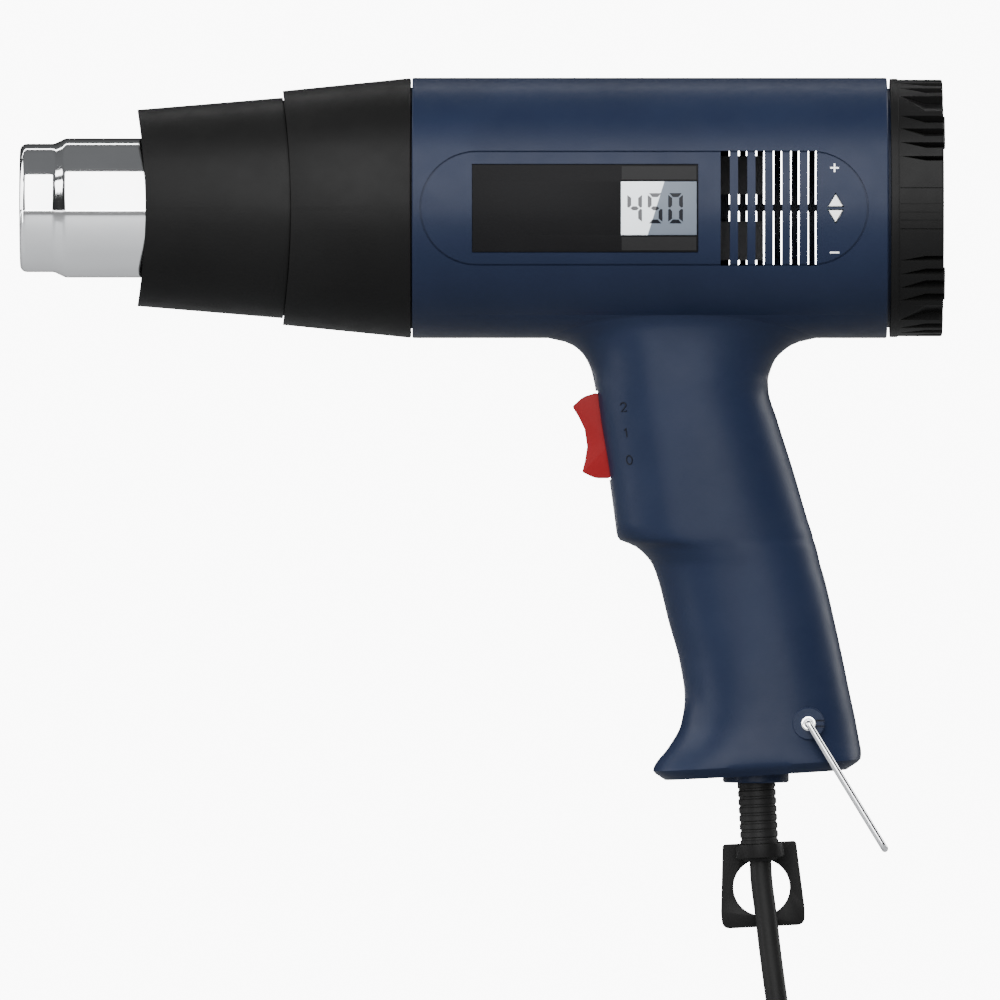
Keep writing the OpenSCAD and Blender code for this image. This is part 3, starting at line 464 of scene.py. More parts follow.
def swept(path: Sequence[Sequence[float]], radius: float | Sequence[float], sides: int = 24,
          closed_ends: bool = True) -> bmesh.types.BMesh:
    """Round tube along a path.

    Args:
        path: the centreline's points.
        radius: one radius, or one for each point.
        sides: sides of the section.
        closed_ends: whether the ends get faces.

    Returns:
        The tube.
    """
    bm = bmesh.new()
    points = [Vector(p) for p in path]
    radii = [radius] * len(points) if isinstance(radius, (int, float)) else list(radius)
    last = len(points) - 1
    way = (points[1] - points[0]).normalized()
    frame = along(way, (0.0, 1.0, 0.0))
    ring = bmesh.ops.create_circle(
        bm, cap_ends=closed_ends, segments=sides, radius=radii[0],
        matrix=Matrix.Translation(points[0]) @ frame)["verts"]
    edges = list({e for v in ring for e in v.link_edges})
    for i in range(1, last + 1):
        heading = (points[min(i + 1, last)] - points[i - 1]).normalized()
        made = bmesh.ops.extrude_edge_only(bm, edges=edges)["geom"]
        verts = vertices_of(made)
        turn = way.rotation_difference(heading).to_matrix().to_4x4()
        grow = Matrix.Scale(radii[i] / radii[i - 1], 4)
        step = Matrix.Translation(points[i]) @ turn @ grow @ Matrix.Translation(-points[i - 1])
        bmesh.ops.transform(bm, matrix=step, verts=verts)
        edges = [e for e in made if isinstance(e, bmesh.types.BMEdge)]
        way = heading
    if closed_ends:
        bmesh.ops.contextual_create(bm, geom=edges)
    return tidy(bm)


def joined(parts: Iterable[bmesh.types.BMesh]) -> bmesh.types.BMesh:
    """Puts separate solids into one bmesh."""
    whole = bmesh.new()
    for part in parts:
        mesh = bpy.data.meshes.new("part")
        part.to_mesh(mesh)
        part.free()
        whole.from_mesh(mesh)
        bpy.data.meshes.remove(mesh)
    return whole


class Blend(Enum):
    """How two solids are combined."""

    UNION = "UNION"
    DIFFERENCE = "DIFFERENCE"
    INTERSECT = "INTERSECT"


def combine(bm: bmesh.types.BMesh, other: bmesh.types.BMesh, how: Blend) -> bmesh.types.BMesh:
    """Combines two solids and frees both.

    Args:
        bm: the solid that is worked on.
        other: the tool.
        how: the operation.

    Returns:
        A new solid.
    """
    objects = []
    for part in (bm, other):
        mesh = bpy.data.meshes.new("tool")
        part.to_mesh(mesh)
        part.free()
        made = bpy.data.objects.new("tool", mesh)
        bpy.context.scene.collection.objects.link(made)
        objects.append(made)
    modifier = objects[0].modifiers.new("combine", "BOOLEAN")
    modifier.operation = how.value
    modifier.solver = "MANIFOLD"
    modifier.object = objects[1]
    graph = bpy.context.evaluated_depsgraph_get()
    result = bmesh.new()
    result.from_mesh(objects[0].evaluated_get(graph).to_mesh())
    for made in objects:
        mesh = made.data
        bpy.data.objects.remove(made)
        bpy.data.meshes.remove(mesh)
    if not result.faces:
        raise ValueError("the solids left nothing")
    return result


def cut(bm: bmesh.types.BMesh, *tools: bmesh.types.BMesh) -> bmesh.types.BMesh:
    """Takes tools away from a solid, one after another."""
    for tool in tools:
        bm = combine(bm, tool, Blend.DIFFERENCE)
    return bm


def fused(bm: bmesh.types.BMesh, *parts: bmesh.types.BMesh) -> bmesh.types.BMesh:
    """Adds parts to a solid, one after another."""
    for part in parts:
        bm = combine(bm, part, Blend.UNION)
    return bm


@dataclass
class Shop:
    """Turns finished solids into pieces of the model, and remembers the finishes."""

    frame: dict[str, Any]
    finishes: dict[str, bpy.types.Material] = field(default_factory=dict)

    def finish(self, finish: Any) -> bpy.types.Material:
        """The material of a finish, made once."""
        if finish.name not in self.finishes:
            self.finishes[finish.name] = finish.material()
        return self.finishes[finish.name]

    def piece(self, name: str, bm: bmesh.types.BMesh, finish: Any, body: str,
              stands_for: Sequence[str] = (), sharp: float = 30.0) -> bpy.types.Object:
        """Makes a piece of a solid.

        Args:
            name: the piece's name.
            bm: the solid, in millimetres; it is freed.
            finish: its finish.
            body: the body that it rides on.
            stands_for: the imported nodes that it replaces.
            sharp: the turn above which an edge is shaded sharp, in degrees.

        Returns:
            The piece's object.
        """
        bmesh.ops.scale(bm, vec=(MM, MM, MM), verts=bm.verts)
        mesh = bpy.data.meshes.new(name)
        bm.to_mesh(mesh)
        bm.free()
        mesh.shade_smooth()
        mesh.set_sharp_from_angle(angle=math.radians(sharp))
        mesh.materials.append(self.finish(finish))
        made = bpy.data.objects.new(name, mesh)
        bpy.context.scene.collection.objects.link(made)
        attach(made, body)
        if stands_for:
            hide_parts(*stands_for)
        LOG.info("%s: %d faces on %s", name, len(mesh.polygons), body)
        return made

    def dress(self, finish: Any, *nodes: str) -> None:
        """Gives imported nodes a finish."""
        for node in nodes:
            made = self.frame["nodes"][node]
            made.data.materials.clear()
            made.data.materials.append(self.finish(finish))
            LOG.info("%s: dressed in %s", node, finish.name)


# ------------------------------------------------------------------ studio


@dataclass
class Studio:
    """Long-lens camera, soft lamps, pale world and floor.

    The floor's radius is in metres and its fade starts at a distance in millimetres. The floor
    glows faintly near the gun and as brightly as the backdrop at its edge.
    """

    aim: Point = (-67.1, 0.0, 30.4)
    view_width: float = 272.6
    distance: float = 7200.0
    elevation: float = 0.75
    floor_z: float = -331.0
    floor_radius: float = 6.9
    floor_glow: float = 0.26
    floor_fade: float = 2200.0
    backdrop: float = 10.0
    wall_light: float = 0.03
    ceiling_light: float = 0.18

    def camera(self) -> None:
        """Makes the camera, square on to the display side."""
        data = bpy.data.cameras.new("camera")
        data.sensor_width = 36.0
        data.lens = data.sensor_width * self.distance / self.view_width
        data.clip_start = 1.0
        data.clip_end = 100.0
        made = bpy.data.objects.new("camera", data)
        x, _, z = self.aim
        rise = math.radians(self.elevation)
        made.location = (x * MM, -self.distance * math.cos(rise) * MM,
                         (z + self.distance * math.sin(rise)) * MM)
        made.rotation_euler = (math.radians(90.0) - rise, 0.0, 0.0)
        bpy.context.scene.collection.objects.link(made)
        bpy.context.scene.camera = made

    def lamp(self, name: str, place: Point, target: Point, size: Flat, watts: float) -> None:
        """Adds a rectangular soft lamp with white light.

        Args:
            name: its name.
            place: where it hangs, in metres.
            target: what it points at, in metres.
            size: its width and height, in metres.
            watts: its power.
        """
        data = bpy.data.lights.new(name, "AREA")
        data.shape = "RECTANGLE"
        data.size, data.size_y = size
        data.energy = watts
        made = bpy.data.objects.new(name, data)
        made.location = place
        made.rotation_mode = "QUATERNION"
        made.rotation_quaternion = (Vector(target) - Vector(place)).to_track_quat("-Z", "Y")
        bpy.context.scene.collection.objects.link(made)

    def world(self) -> None:
        """Pale world, brighter where the camera sees it than where it lights the gun."""
        world = bpy.data.worlds.new("world")
        world.use_nodes = True
        tree = world.node_tree
        tree.nodes.clear()

        def node(kind: str, **values: Any) -> bpy.types.Node:
            """Adds a node and sets its sockets; underscores stand for spaces."""
            made = tree.nodes.new(kind)
            for key, value in values.items():
                made.inputs[key.replace("_", " ")].default_value = value
            return made

        way = node("ShaderNodeTexCoord")
        split = node("ShaderNodeSeparateXYZ")
        height = node("ShaderNodeMapRange", From_Min=0.25, From_Max=0.9,
                      To_Min=self.wall_light, To_Max=self.ceiling_light)
        lit = node("ShaderNodeBackground", Color=(0.95, 0.97, 1.0, 1.0))
        shown = node("ShaderNodeBackground", Color=(1.0, 1.0, 1.0, 1.0), Strength=self.backdrop)
        seen, mix = node("ShaderNodeLightPath"), node("ShaderNodeMixShader")
        out = node("ShaderNodeOutputWorld")
        for start, end in ((way.outputs["Generated"], split.inputs[0]),
                           (split.outputs["Z"], height.inputs["Value"]),
                           (height.outputs[0], lit.inputs["Strength"]),
                           (seen.outputs["Is Camera Ray"], mix.inputs[0]),
                           (lit.outputs[0], mix.inputs[1]),
                           (shown.outputs[0], mix.inputs[2]),
                           (mix.outputs[0], out.inputs["Surface"])):
            tree.links.new(start, end)
        bpy.context.scene.world = world

    def floor(self) -> None:
        """Large pale floor under the plug, which brightens into the backdrop far away."""
        bm = bmesh.new()
        bmesh.ops.create_circle(bm, cap_ends=True, segments=96, radius=self.floor_radius,
                                matrix=Matrix.Translation((0.0, 0.0, self.floor_z * MM)))
        mesh = bpy.data.meshes.new("floor")
        bm.to_mesh(mesh)
        bm.free()
        desk = Desk("floor")
        x, y = desk.axis("X"), desk.axis("Y")
        far = (x * x + y * y).ramp(self.floor_fade ** 2, (self.floor_radius / MM) ** 2)
        near = (self.floor_glow / self.backdrop,) * 3
        glow = desk.blend(far * far * far, near, (1.0, 1.0, 1.0))
        mesh.materials.append(desk.shade(Base_Color=(0.18, 0.184, 0.19), Roughness=0.6,
                                         Emission_Color=glow, Emission_Strength=self.backdrop))
        made = bpy.data.objects.new("floor", mesh)
        bpy.context.scene.collection.objects.link(made)

    def build(self) -> None:
        """Sets the studio up."""
        self.world()
        self.floor()
        self.lamp("front", (-0.05, -1.49, 0.886), (-0.05, -0.04, -0.014), (1.6, 2.25), 100.0)
        self.lamp("rim_top", (-0.05, 0.95, 1.15), (-0.05, 0.0, 0.1), (2.4, 0.11), 5.4)
        self.lamp("rear_side", (1.3, 0.7, 0.7), (0.0, 0.0, 0.0), (0.9, 1.4), 24.0)
        self.lamp("nozzle_side", (-1.5, 0.1, 0.7), (-0.05, 0.0, 0.0), (1.0, 1.4), 26.0)
        self.lamp("nozzle_strip", (-1.25, -0.55, 0.3), (-0.19, 0.0, 0.11), (0.36, 1.34), 11.0)


# ------------------------------------------------------------------ housing


def eased(rows: Sequence[Sequence[float]], z: float) -> list[float]:
    """Values of a table at a height, by monotone cubic steps between its rows.

    Args:
        rows: rows of a height and its values, with the heights rising.
        z: the height.

    Returns:
        The values there.
    """
    last = len(rows) - 1
    i = max(0, min(last - 1, sum(1 for r in rows if r[0] <= z) - 1))
    gap = rows[i + 1][0] - rows[i][0]
    t = max(0.0, min(1.0, (z - rows[i][0]) / gap))
    values = []
    for k in range(1, len(rows[0])):
        slopes = []
        for j in (i, i + 1):
            if j in (0, last):
                slopes.append((rows[i + 1][k] - rows[i][k]) / gap)
                continue
            before = (rows[j][k] - rows[j - 1][k]) / (rows[j][0] - rows[j - 1][0])
            after = (rows[j + 1][k] - rows[j][k]) / (rows[j + 1][0] - rows[j][0])
            flat = before * after <= 0.0
            slopes.append(0.0 if flat else 2.0 * before * after / (before + after))
        a, b = rows[i][k], rows[i + 1][k]
        h1 = t * t * (3.0 - 2.0 * t)
        values.append(a + (b - a) * h1 + gap * (t * (1.0 - t) ** 2 * slopes[0]
                                                - t * t * (1.0 - t) * slopes[1]))
    return values


@dataclass
class Housing:
    """The two moulded halves: barrel, grip with its fairing, vents, pockets and bosses."""

    plastic: MouldedPlastic
    barrel_r: float = BARREL_R
    bore_r: float = 33.1
    front_x: float = -91.0
    rear_x: float = 38.3
    wall: float = 2.4
    spigot_r: float = 32.6
    spigot_len: float = 6.0
    sides: int = 128
    step: float = 0.9
    foot_rise: float = 0.058
    # Height, front, back, half width, squareness of the front and of the back, narrowing
    rows: tuple[tuple[float, ...], ...] = (
        (-44.45, -22.2, 27.4, 14.6, 3.0, 3.0, 0.0),
        (-41.6, -25.4, 31.3, 17.3, 3.0, 2.9, 0.0),
        (-40.2, -24.9, 31.4, 17.4, 2.6, 2.6, 0.0),
        (-36.0, -21.3, 30.8, 17.2, 2.3, 2.3, 0.0),
        (-30.0, -17.8, 29.8, 16.8, 2.2, 2.2, 0.0),
        (-23.5, -16.8, 28.5, 16.6, 2.2, 2.2, 0.0),
        (-14.0, -18.1, 26.6, 16.5, 2.2, 2.2, 0.0),
        (-3.0, -21.1, 24.2, 16.7, 2.2, 2.2, 0.0),
        (8.5, -24.0, 21.5, 17.1, 2.2, 2.2, 0.0),
        (13.0, -25.7, 20.2, 17.3, 2.2, 2.2, 0.0),
        (15.6, -27.7, 19.6, 17.5, 2.4, 2.2, 0.03),
        (18.0, -30.7, 19.0, 17.7, 2.8, 2.2, 0.16),
        (19.5, -34.5, 18.4, 17.9, 3.6, 2.2, 0.3),
        (21.0, -35.3, 18.1, 18.0, 4.6, 2.2, 0.36),
        (24.0, -35.7, 17.1, 18.1, 6.0, 2.2, 0.37),
        (38.6, -37.7, 12.8, 18.4, 6.0, 2.2, 0.37),
        (52.2, -39.9, 8.5, 18.7, 6.0, 2.2, 0.37),
        (60.4, -41.1, 6.1, 18.9, 5.0, 2.3, 0.35),
        (63.1, -41.6, 6.0, 18.95, 4.2, 2.4, 0.32),
        (65.8, -42.3, 6.7, 19.0, 3.6, 2.4, 0.27),
        (68.6, -43.5, 7.9, 19.1, 3.1, 2.4, 0.2),
        (70.6, -44.9, 9.7, 19.25, 2.8, 2.4, 0.12),
        (72.6, -47.4, 12.4, 19.5, 2.6, 2.4, 0.05),
        (74.0, -51.2, 16.2, 20.1, 2.6, 2.4, 0.0),
        (74.6, -54.6, 19.6, 20.5, 2.6, 2.4, 0.0),
        (75.6, -57.0, 22.0, 21.2, 2.6, 2.4, 0.0),
        (78.0, -58.0, 23.0, 22.2, 2.6, 2.4, 0.0),
    )
    facet: float = 15.0
    lift_low: float = 58.0
    lift_high: float = 72.0
    bulkhead_x: float = -86.5
    neck: Flat = (2.65, -39.5)
    outlet: Flat = OUTLET
    stand_pivot: Flat = STAND_PIVOT
    switch: Flat = SWITCH
    switch_tilt: float = SWITCH_TILT
    switch_half: Flat = (7.1, 12.3)
    screws: tuple[Flat, ...] = ((-40.0, 137.5), (30.0, 137.5), (30.0, 82.5), (-33.0, 68.0),
                                (-3.0, 58.0), (15.0, 2.0), (-10.5, -34.2))
    field_half: float = 15.6
    outline: Flat = (-89.0, 32.95)
    groove_w: float = 0.5
    groove_d: float = 0.45
    vents: tuple[float, ...] = (-6.0, -1.27, 3.46, 8.19, 12.92, 17.65)
    vent_w: float = 2.5
    far_rib: float = 1.7
    far_shift: float = 0.66
    label: Flat = LABEL
    label_half: float = LABEL_HALF
    arrow: Arrow = Arrow()

    def section_point(self, z: float, turn: float, inset: float) -> Vector:
        """A point of the grip's outside.

        Args:
            z: the section's height.
            turn: where it lies round the section, as an angle.
            inset: how far the section is shrunk.

        Returns:
            The point.
        """
        front, back, half, square_f, square_b, narrow = eased(self.rows, z)
        c, s = math.cos(turn), math.sin(turn)
        power = 2.0 / (square_b if c > 0.0 else square_f)
        mid, reach = (front + back) / 2.0, (back - front) / 2.0 - inset
        x = mid + reach * math.copysign(abs(c) ** power, c)
        y = (half - inset) * math.copysign(abs(s) ** power, s)
        ahead = front + self.facet - x
        y -= math.copysign(narrow, y) * (ahead + math.hypot(ahead, 2.5)) / 2.0 \
            * min(1.0, abs(y) / 3.0)
        lean = self.foot_rise * max(0.0, min(1.0, (-20.0 - z) / 20.0))
        rise = max(0.0, min(1.0, (z - self.lift_low) / (self.lift_high - self.lift_low)))
        rise = rise * rise * (3.0 - 2.0 * rise)
        arch = self.barrel_r - math.sqrt(max(0.0, self.barrel_r ** 2 - min(abs(y), 33.0) ** 2))
        return Vector((x, y, z + lean * (x - mid) + rise * arch))

    def grip(self, inset: float = 0.0) -> bmesh.types.BMesh:
        """The grip as a solid, shrunk by an inset."""
        bm = bmesh.new()
        low, high = self.rows[0][0] + inset, self.rows[-1][0]
        count = round((high - low) / self.step)
        ring = bmesh.ops.create_circle(bm, cap_ends=True, segments=self.sides, radius=1.0)["verts"]
        turns = {v: math.atan2(v.co.y, v.co.x) + math.pi / self.sides for v in ring}
        edges = list({e for v in ring for e in v.link_edges})
        for v, turn in turns.items():
            v.co = self.section_point(low, turn, inset)
        for i in range(1, count + 1):
            made = bmesh.ops.extrude_edge_only(bm, edges=edges)["geom"]
            edges = [e for e in made if isinstance(e, bmesh.types.BMEdge)]
            risers = {v: next(e for e in v.link_edges if e not in edges)
                      for v in vertices_of(made)}
            turns = {v: turns[e.other_vert(v)] for v, e in risers.items()}
            for v, turn in turns.items():
                v.co = self.section_point(low + (high - low) * i / count, turn, inset)
        bmesh.ops.contextual_create(bm, geom=edges)
        return tidy(bm)

    def barrel(self, radius: float, start: float, end: float) -> bmesh.types.BMesh:
        """Round bar on the barrel's axis."""
        return turned([(start, 0.0), (start, radius), (end, radius), (end, 0.0)], 256)

    def across(self, x: float, z: float, y0: float, y1: float, r: float,
               sides: int = 48) -> bmesh.types.BMesh:
        """Round bar across the gun."""
        return rod((x, y0, z), (x, y1, z), r, sides)

    def outside(self) -> bmesh.types.BMesh:
        """Outer form of both halves."""
        lip = 0.3
        form = turned([
            (self.front_x, 0.0), (self.front_x, self.barrel_r - lip),
            (self.front_x + lip, self.barrel_r), (self.rear_x - lip, self.barrel_r),
            (self.rear_x, self.barrel_r - lip), (self.rear_x, self.spigot_r),
            (self.rear_x + self.spigot_len, self.spigot_r), (self.rear_x + self.spigot_len, 0.0),
        ], 256)
        neck = turned([(-2.0, 0.0), (-2.0, 9.05), (6.7, 9.05), (7.1, 8.65), (7.1, 0.0)], 96,
                      (self.neck[0], 0.0, self.neck[1]), (0.0, 0.0, -1.0))
        form = fused(form, self.grip(), neck)
        x, z = self.stand_pivot
        bosses = [turned([(8.0, 0.0), (8.0, 4.45), (16.3, 4.45), (16.6, 4.15), (16.6, 0.0)], 96,
                         (x, 0.0, z), (0.0, float(s.value), 0.0)) for s in Side]
        return fused(form, *bosses)

    def hollow(self) -> bmesh.types.BMesh:
        """The space inside, with the screw bosses and the bulkhead left standing."""
        space = fused(
            self.barrel(self.bore_r, self.bulkhead_x + 2.5, self.rear_x - self.wall),
            self.barrel(self.bore_r, self.front_x - 1.0, self.bulkhead_x),
            self.barrel(self.spigot_r - 2.2, self.rear_x - self.wall - 1.0,
                        self.rear_x + self.spigot_len + 1.0),
            self.barrel(21.0, self.bulkhead_x - 1.0, self.bulkhead_x + 3.5),
            self.grip(self.wall),
        )
        standing = [self.across(x, z, -60.0, 60.0, 4.2) for x, z in self.screws]
        x, z = self.stand_pivot
        standing += [self.across(x, z, 10.5 * s.value, 60.0 * s.value, 3.4) for s in Side]
        return cut(space, *standing)

    def seam(self) -> bmesh.types.BMesh:
        """Shallow groove that shows where the halves meet."""
        depth, half = 0.35, 0.14
        slab = block((self.front_x - 5.0, -half, -60.0), (self.rear_x - 0.01, half, 160.0))
        core = fused(self.barrel(self.barrel_r - depth, self.front_x - 6.0, self.rear_x + 2.0),
                     self.grip(depth))
        return cut(slab, core)

    def switch_hole(self) -> bmesh.types.BMesh:
        """Opening of the rocker switch in the grip's front."""
        (x, z), tilt = self.switch, math.radians(self.switch_tilt)
        hole = block((-8.0, -self.switch_half[0], -self.switch_half[1]),
                     (self.wall + 2.0, self.switch_half[0], self.switch_half[1]))
        frame = Matrix.Translation((x, 0.0, z)) @ Matrix.Rotation(-tilt, 4, "Y")
        bmesh.ops.transform(hole, matrix=frame, verts=hole.verts)
        return hole

    def common(self) -> bmesh.types.BMesh:
        """Both halves in one, before they are parted."""
        x, z = self.stand_pivot
        stand_bores = [self.across(x, z, 9.0 * s.value, 60.0 * s.value, 1.6) for s in Side]
        outlet = rod((self.outlet[0] - 0.6, 0.0, self.outlet[1] + 12.0),
                     (self.outlet[0] + 0.3, 0.0, self.outlet[1] - 5.0), 5.3)
        return cut(self.outside(), self.seam(), self.hollow(), self.switch_hole(), outlet,
                   *stand_bores)

    def stadium(self, grow: float) -> bmesh.types.BMesh:
        """Round-ended bar across the display side, for the grooved outline."""
        half = self.field_half + grow
        x0, x1 = self.outline[0] - grow, self.outline[1] + grow
        turn, points = 24, []
        for end, start in ((x1 - half, -90.0), (x0 + half, 90.0)):
            for i in range(turn + 1):
                a = math.radians(start + 180.0 * i / turn)
                points.append((end + half * math.cos(a), -20.0, BARREL_Z + half * math.sin(a)))
        return prism(points, (0.0, -25.0, 0.0))

    def outline_groove(self) -> bmesh.types.BMesh:
        """Fine groove round the display side's field."""
        ring = cut(self.stadium(0.0), self.stadium(-self.groove_w))
        return cut(ring, self.barrel(self.barrel_r - self.groove_d, self.front_x - 5.0,
                                     self.rear_x + 5.0))

    def vent(self, x0: float, x1: float, z0: float, z1: float, side: Side) -> bmesh.types.BMesh:
        """Cutter of one slot, with softened corners."""
        y = sorted((20.0 * side.value, 60.0 * side.value))
        slot = block((x0, y[0], BARREL_Z + z0), (x1, y[1], BARREL_Z + z1))
        return soften(slot, 0.25, 2, keep=lambda e: abs(e.verts[0].co.y - e.verts[1].co.y) > 1.0)

    def display_half(self, whole: bmesh.types.BMesh) -> bmesh.types.BMesh:
        """The half with the display."""
        half = combine(whole, block((-200.0, -60.0, -90.0), (90.0, 0.0, 190.0)), Blend.INTERSECT)
        pocket = turned([(self.label[0] - 0.15, self.barrel_r - 0.9),
                         (self.label[0] - 0.15, self.barrel_r + 3.0),
                         (self.label[1] + 0.15, self.barrel_r + 3.0),
                         (self.label[1] + 0.15, self.barrel_r - 0.9)], 256)
        band = block((-100.0, -60.0, BARREL_Z - self.label_half - 0.15),
                     (40.0, -10.0, BARREL_Z + self.label_half + 0.15))
        pocket = combine(pocket, band, Blend.INTERSECT)
        window = block((self.label[1] - 20.2, -60.0, BARREL_Z - 5.9),
                       (self.label[1] - 1.3, -20.0, BARREL_Z + 5.9))
        slots = [self.vent(x - self.vent_w / 2, x + self.vent_w / 2, -self.field_half,
                           self.field_half, Side.DISPLAY) for x in self.vents]
        buttons = [self.button_hole(d) for d in (1, -1)]
        pilots = [self.across(x, z, -10.0, 1.0, 1.3, 24) for x, z in self.screws]
        dashes = [block((18.9, -18.0, z - 0.25), (21.5, -15.6, z + 0.25)) for z in (-29.4, -31.0)]
        return cut(half, self.outline_groove(), pocket, window, *slots, *buttons, *pilots, *dashes)

    def button_hole(self, way: int) -> bmesh.types.BMesh:
        """Triangular hole of one button."""
        gap, arrow = 0.25, self.arrow
        half, z = arrow.foot + gap * 1.7, BARREL_Z + way * arrow.start
        outline = [(arrow.x - half, -20.0, z - way * gap), (arrow.x + half, -20.0, z - way * gap),
                   (arrow.x, -20.0, z + way * (arrow.rise + gap * 2.0))]
        return prism(outline, (0.0, -25.0, 0.0))

    def far_half(self, whole: bmesh.types.BMesh) -> bmesh.types.BMesh:
        """The half with the screws."""
        half = combine(whole, block((-200.0, 0.0, -90.0), (90.0, 60.0, 190.0)), Blend.INTERSECT)
        slots = []
        rib, bar = self.far_rib / 2, 0.9
        for i, x in enumerate(self.vents):
            last = i == len(self.vents) - 1
            x += self.far_shift
            end = x + self.vent_w / 2 if last else self.vents[i + 1] + self.far_shift - rib
            for z0, z1 in ((bar, self.field_half), (-self.field_half, -bar)):
                slots.append(self.vent(x + rib, end, z0, z1, Side.FAR))
        seats = []
        for x, z in self.screws:
            seats.append(self.across(x, z, -1.0, 9.0, 1.3, 24))
            seats.append(self.across(x, z, 8.0, 60.0, 3.0, 40))
        return cut(half, *slots, *seats)

    def build(self, shop: Shop) -> bpy.types.Object:
        """Makes the halves, and returns the one with the display."""
        whole = self.common()
        spare = whole.copy()
        half = shop.piece("display_half", self.display_half(whole), self.plastic, "gun",
                          ["housing_left"])
        shop.piece("far_half", self.far_half(spare), self.plastic, "gun",
                   ["housing_right"])
        return half


# ------------------------------------------------------------------ shroud and nozzle


@dataclass
class Shroud:
    """Black collar and sleeve with hollowed front edges."""

    plastic: MouldedPlastic
    front_x: float = -91.3
    collar_len: float = 35.0
    collar_r: float = 35.4
    collar_tip_r: float = 31.9
    sleeve_len: float = 39.6
    sleeve_r: float = 30.6
    sleeve_tip_r: float = 26.8
    wall: float = 2.2
    bow: float = 2.5
    edge: float = 0.45

    def edge_cutter(self, tip_x: float, radius: float) -> bmesh.types.BMesh:
        """Round block whose side hollows a front edge."""
        bow_r = (radius ** 2 + self.bow ** 2) / (2.0 * self.bow)
        x = tip_x + self.bow - bow_r
        return rod((x, -60.0, BARREL_Z), (x, 60.0, BARREL_Z), bow_r, 720)

    def collar(self) -> bmesh.types.BMesh:
        """Rear piece, next to the barrel."""
        x0, x1, r = self.front_x - self.collar_len, self.front_x, self.collar_r
        ring = turned([
            (x0, self.collar_tip_r), (x1 - 0.5, r), (x1 - 0.15, r - 0.15), (x1, r - 0.5),
            (x1, 32.8), (x1 + 3.0, 32.8), (x1 + 3.0, 31.4), (x1 - 1.0, 31.4),
            (x0, self.collar_tip_r - self.wall)], 224)
        ring = cut(ring, self.edge_cutter(x0, self.collar_tip_r))
        return soften(ring, self.edge, 3, 40.0, lambda e: e.verts[0].co.x < x0 + self.bow + 0.6)

    def sleeve(self) -> bmesh.types.BMesh:
        """Front piece, round the nozzle tube."""
        seam_x = self.front_x - self.collar_len
        x0, x1 = seam_x - self.sleeve_len, seam_x + 6.0
        spigot = self.collar_tip_r - self.wall - 0.3
        skin = turned([(x0, self.sleeve_tip_r), (x1, self.sleeve_r), (x1, spigot - 2.0),
                       (x0, self.sleeve_tip_r - self.wall)], 224)
        behind = self.edge_cutter(seam_x, self.collar_tip_r)
        bmesh.ops.translate(behind, verts=behind.verts, vec=(-0.3, 0.0, 0.0))
        skin = combine(skin, behind, Blend.INTERSECT)
        skin = cut(skin, self.edge_cutter(x0, self.sleeve_tip_r))
        skin = soften(skin, self.edge, 3, 40.0, lambda e: e.verts[0].co.x < x0 + self.bow + 0.6)
        inner = turned([(seam_x - 2.0, spigot), (seam_x + 12.0, spigot),
                        (seam_x + 12.0, spigot - 2.0), (seam_x - 2.0, spigot - 2.0)], 224)
        web = turned([(x0 + 8.0, self.sleeve_tip_r - 1.0), (x0 + 10.0, self.sleeve_tip_r - 1.0),
                      (x0 + 10.0, 19.3), (x0 + 8.0, 19.3)], 224)
        holes = []
        for i in range(12):
            a = math.radians(30.0 * i)
            y, z = 22.1 * math.cos(a), BARREL_Z + 22.1 * math.sin(a)
            holes.append(rod((x0 + 7.0, y, z), (x0 + 11.0, y, z), 1.6, 24))
        return fused(skin, inner, cut(web, *holes))

    def build(self, shop: Shop) -> None:
        """Makes both pieces."""
        shop.piece("shroud_collar", self.collar(), self.plastic, "gun",
                   ["front_collar"])
        shop.piece("shroud_sleeve", self.sleeve(), self.plastic, "gun",
                   ["front_sleeve"])


def fillet(points: Sequence[Flat], radii: Sequence[float], steps: int = 8) -> list[Flat]:
    """Rounds the corners of an open line of points.

    Args:
        points: the line's points.
        radii: the radius at each point; 0 keeps the corner.
        steps: steps of each round.

    Returns:
        The rounded line.
    """
    line: list[Flat] = []
    for i, (point, radius) in enumerate(zip(points, radii)):
        if radius <= 0.0 or i in (0, len(points) - 1):
            line.append(point)
            continue
        p = Vector(point)
        a, b = Vector(points[i - 1]) - p, Vector(points[i + 1]) - p
        half = a.angle(b) / 2.0
        reach = min(radius / math.tan(half), a.length * 0.49, b.length * 0.49)
        a, b = p + a.normalized() * reach, p + b.normalized() * reach
        for k in range(steps + 1):
            t = k / steps
            q = a * (1.0 - t) ** 2 + p * (2.0 * t * (1.0 - t)) + b * t * t
            line.append((q.x, q.y))
    return line


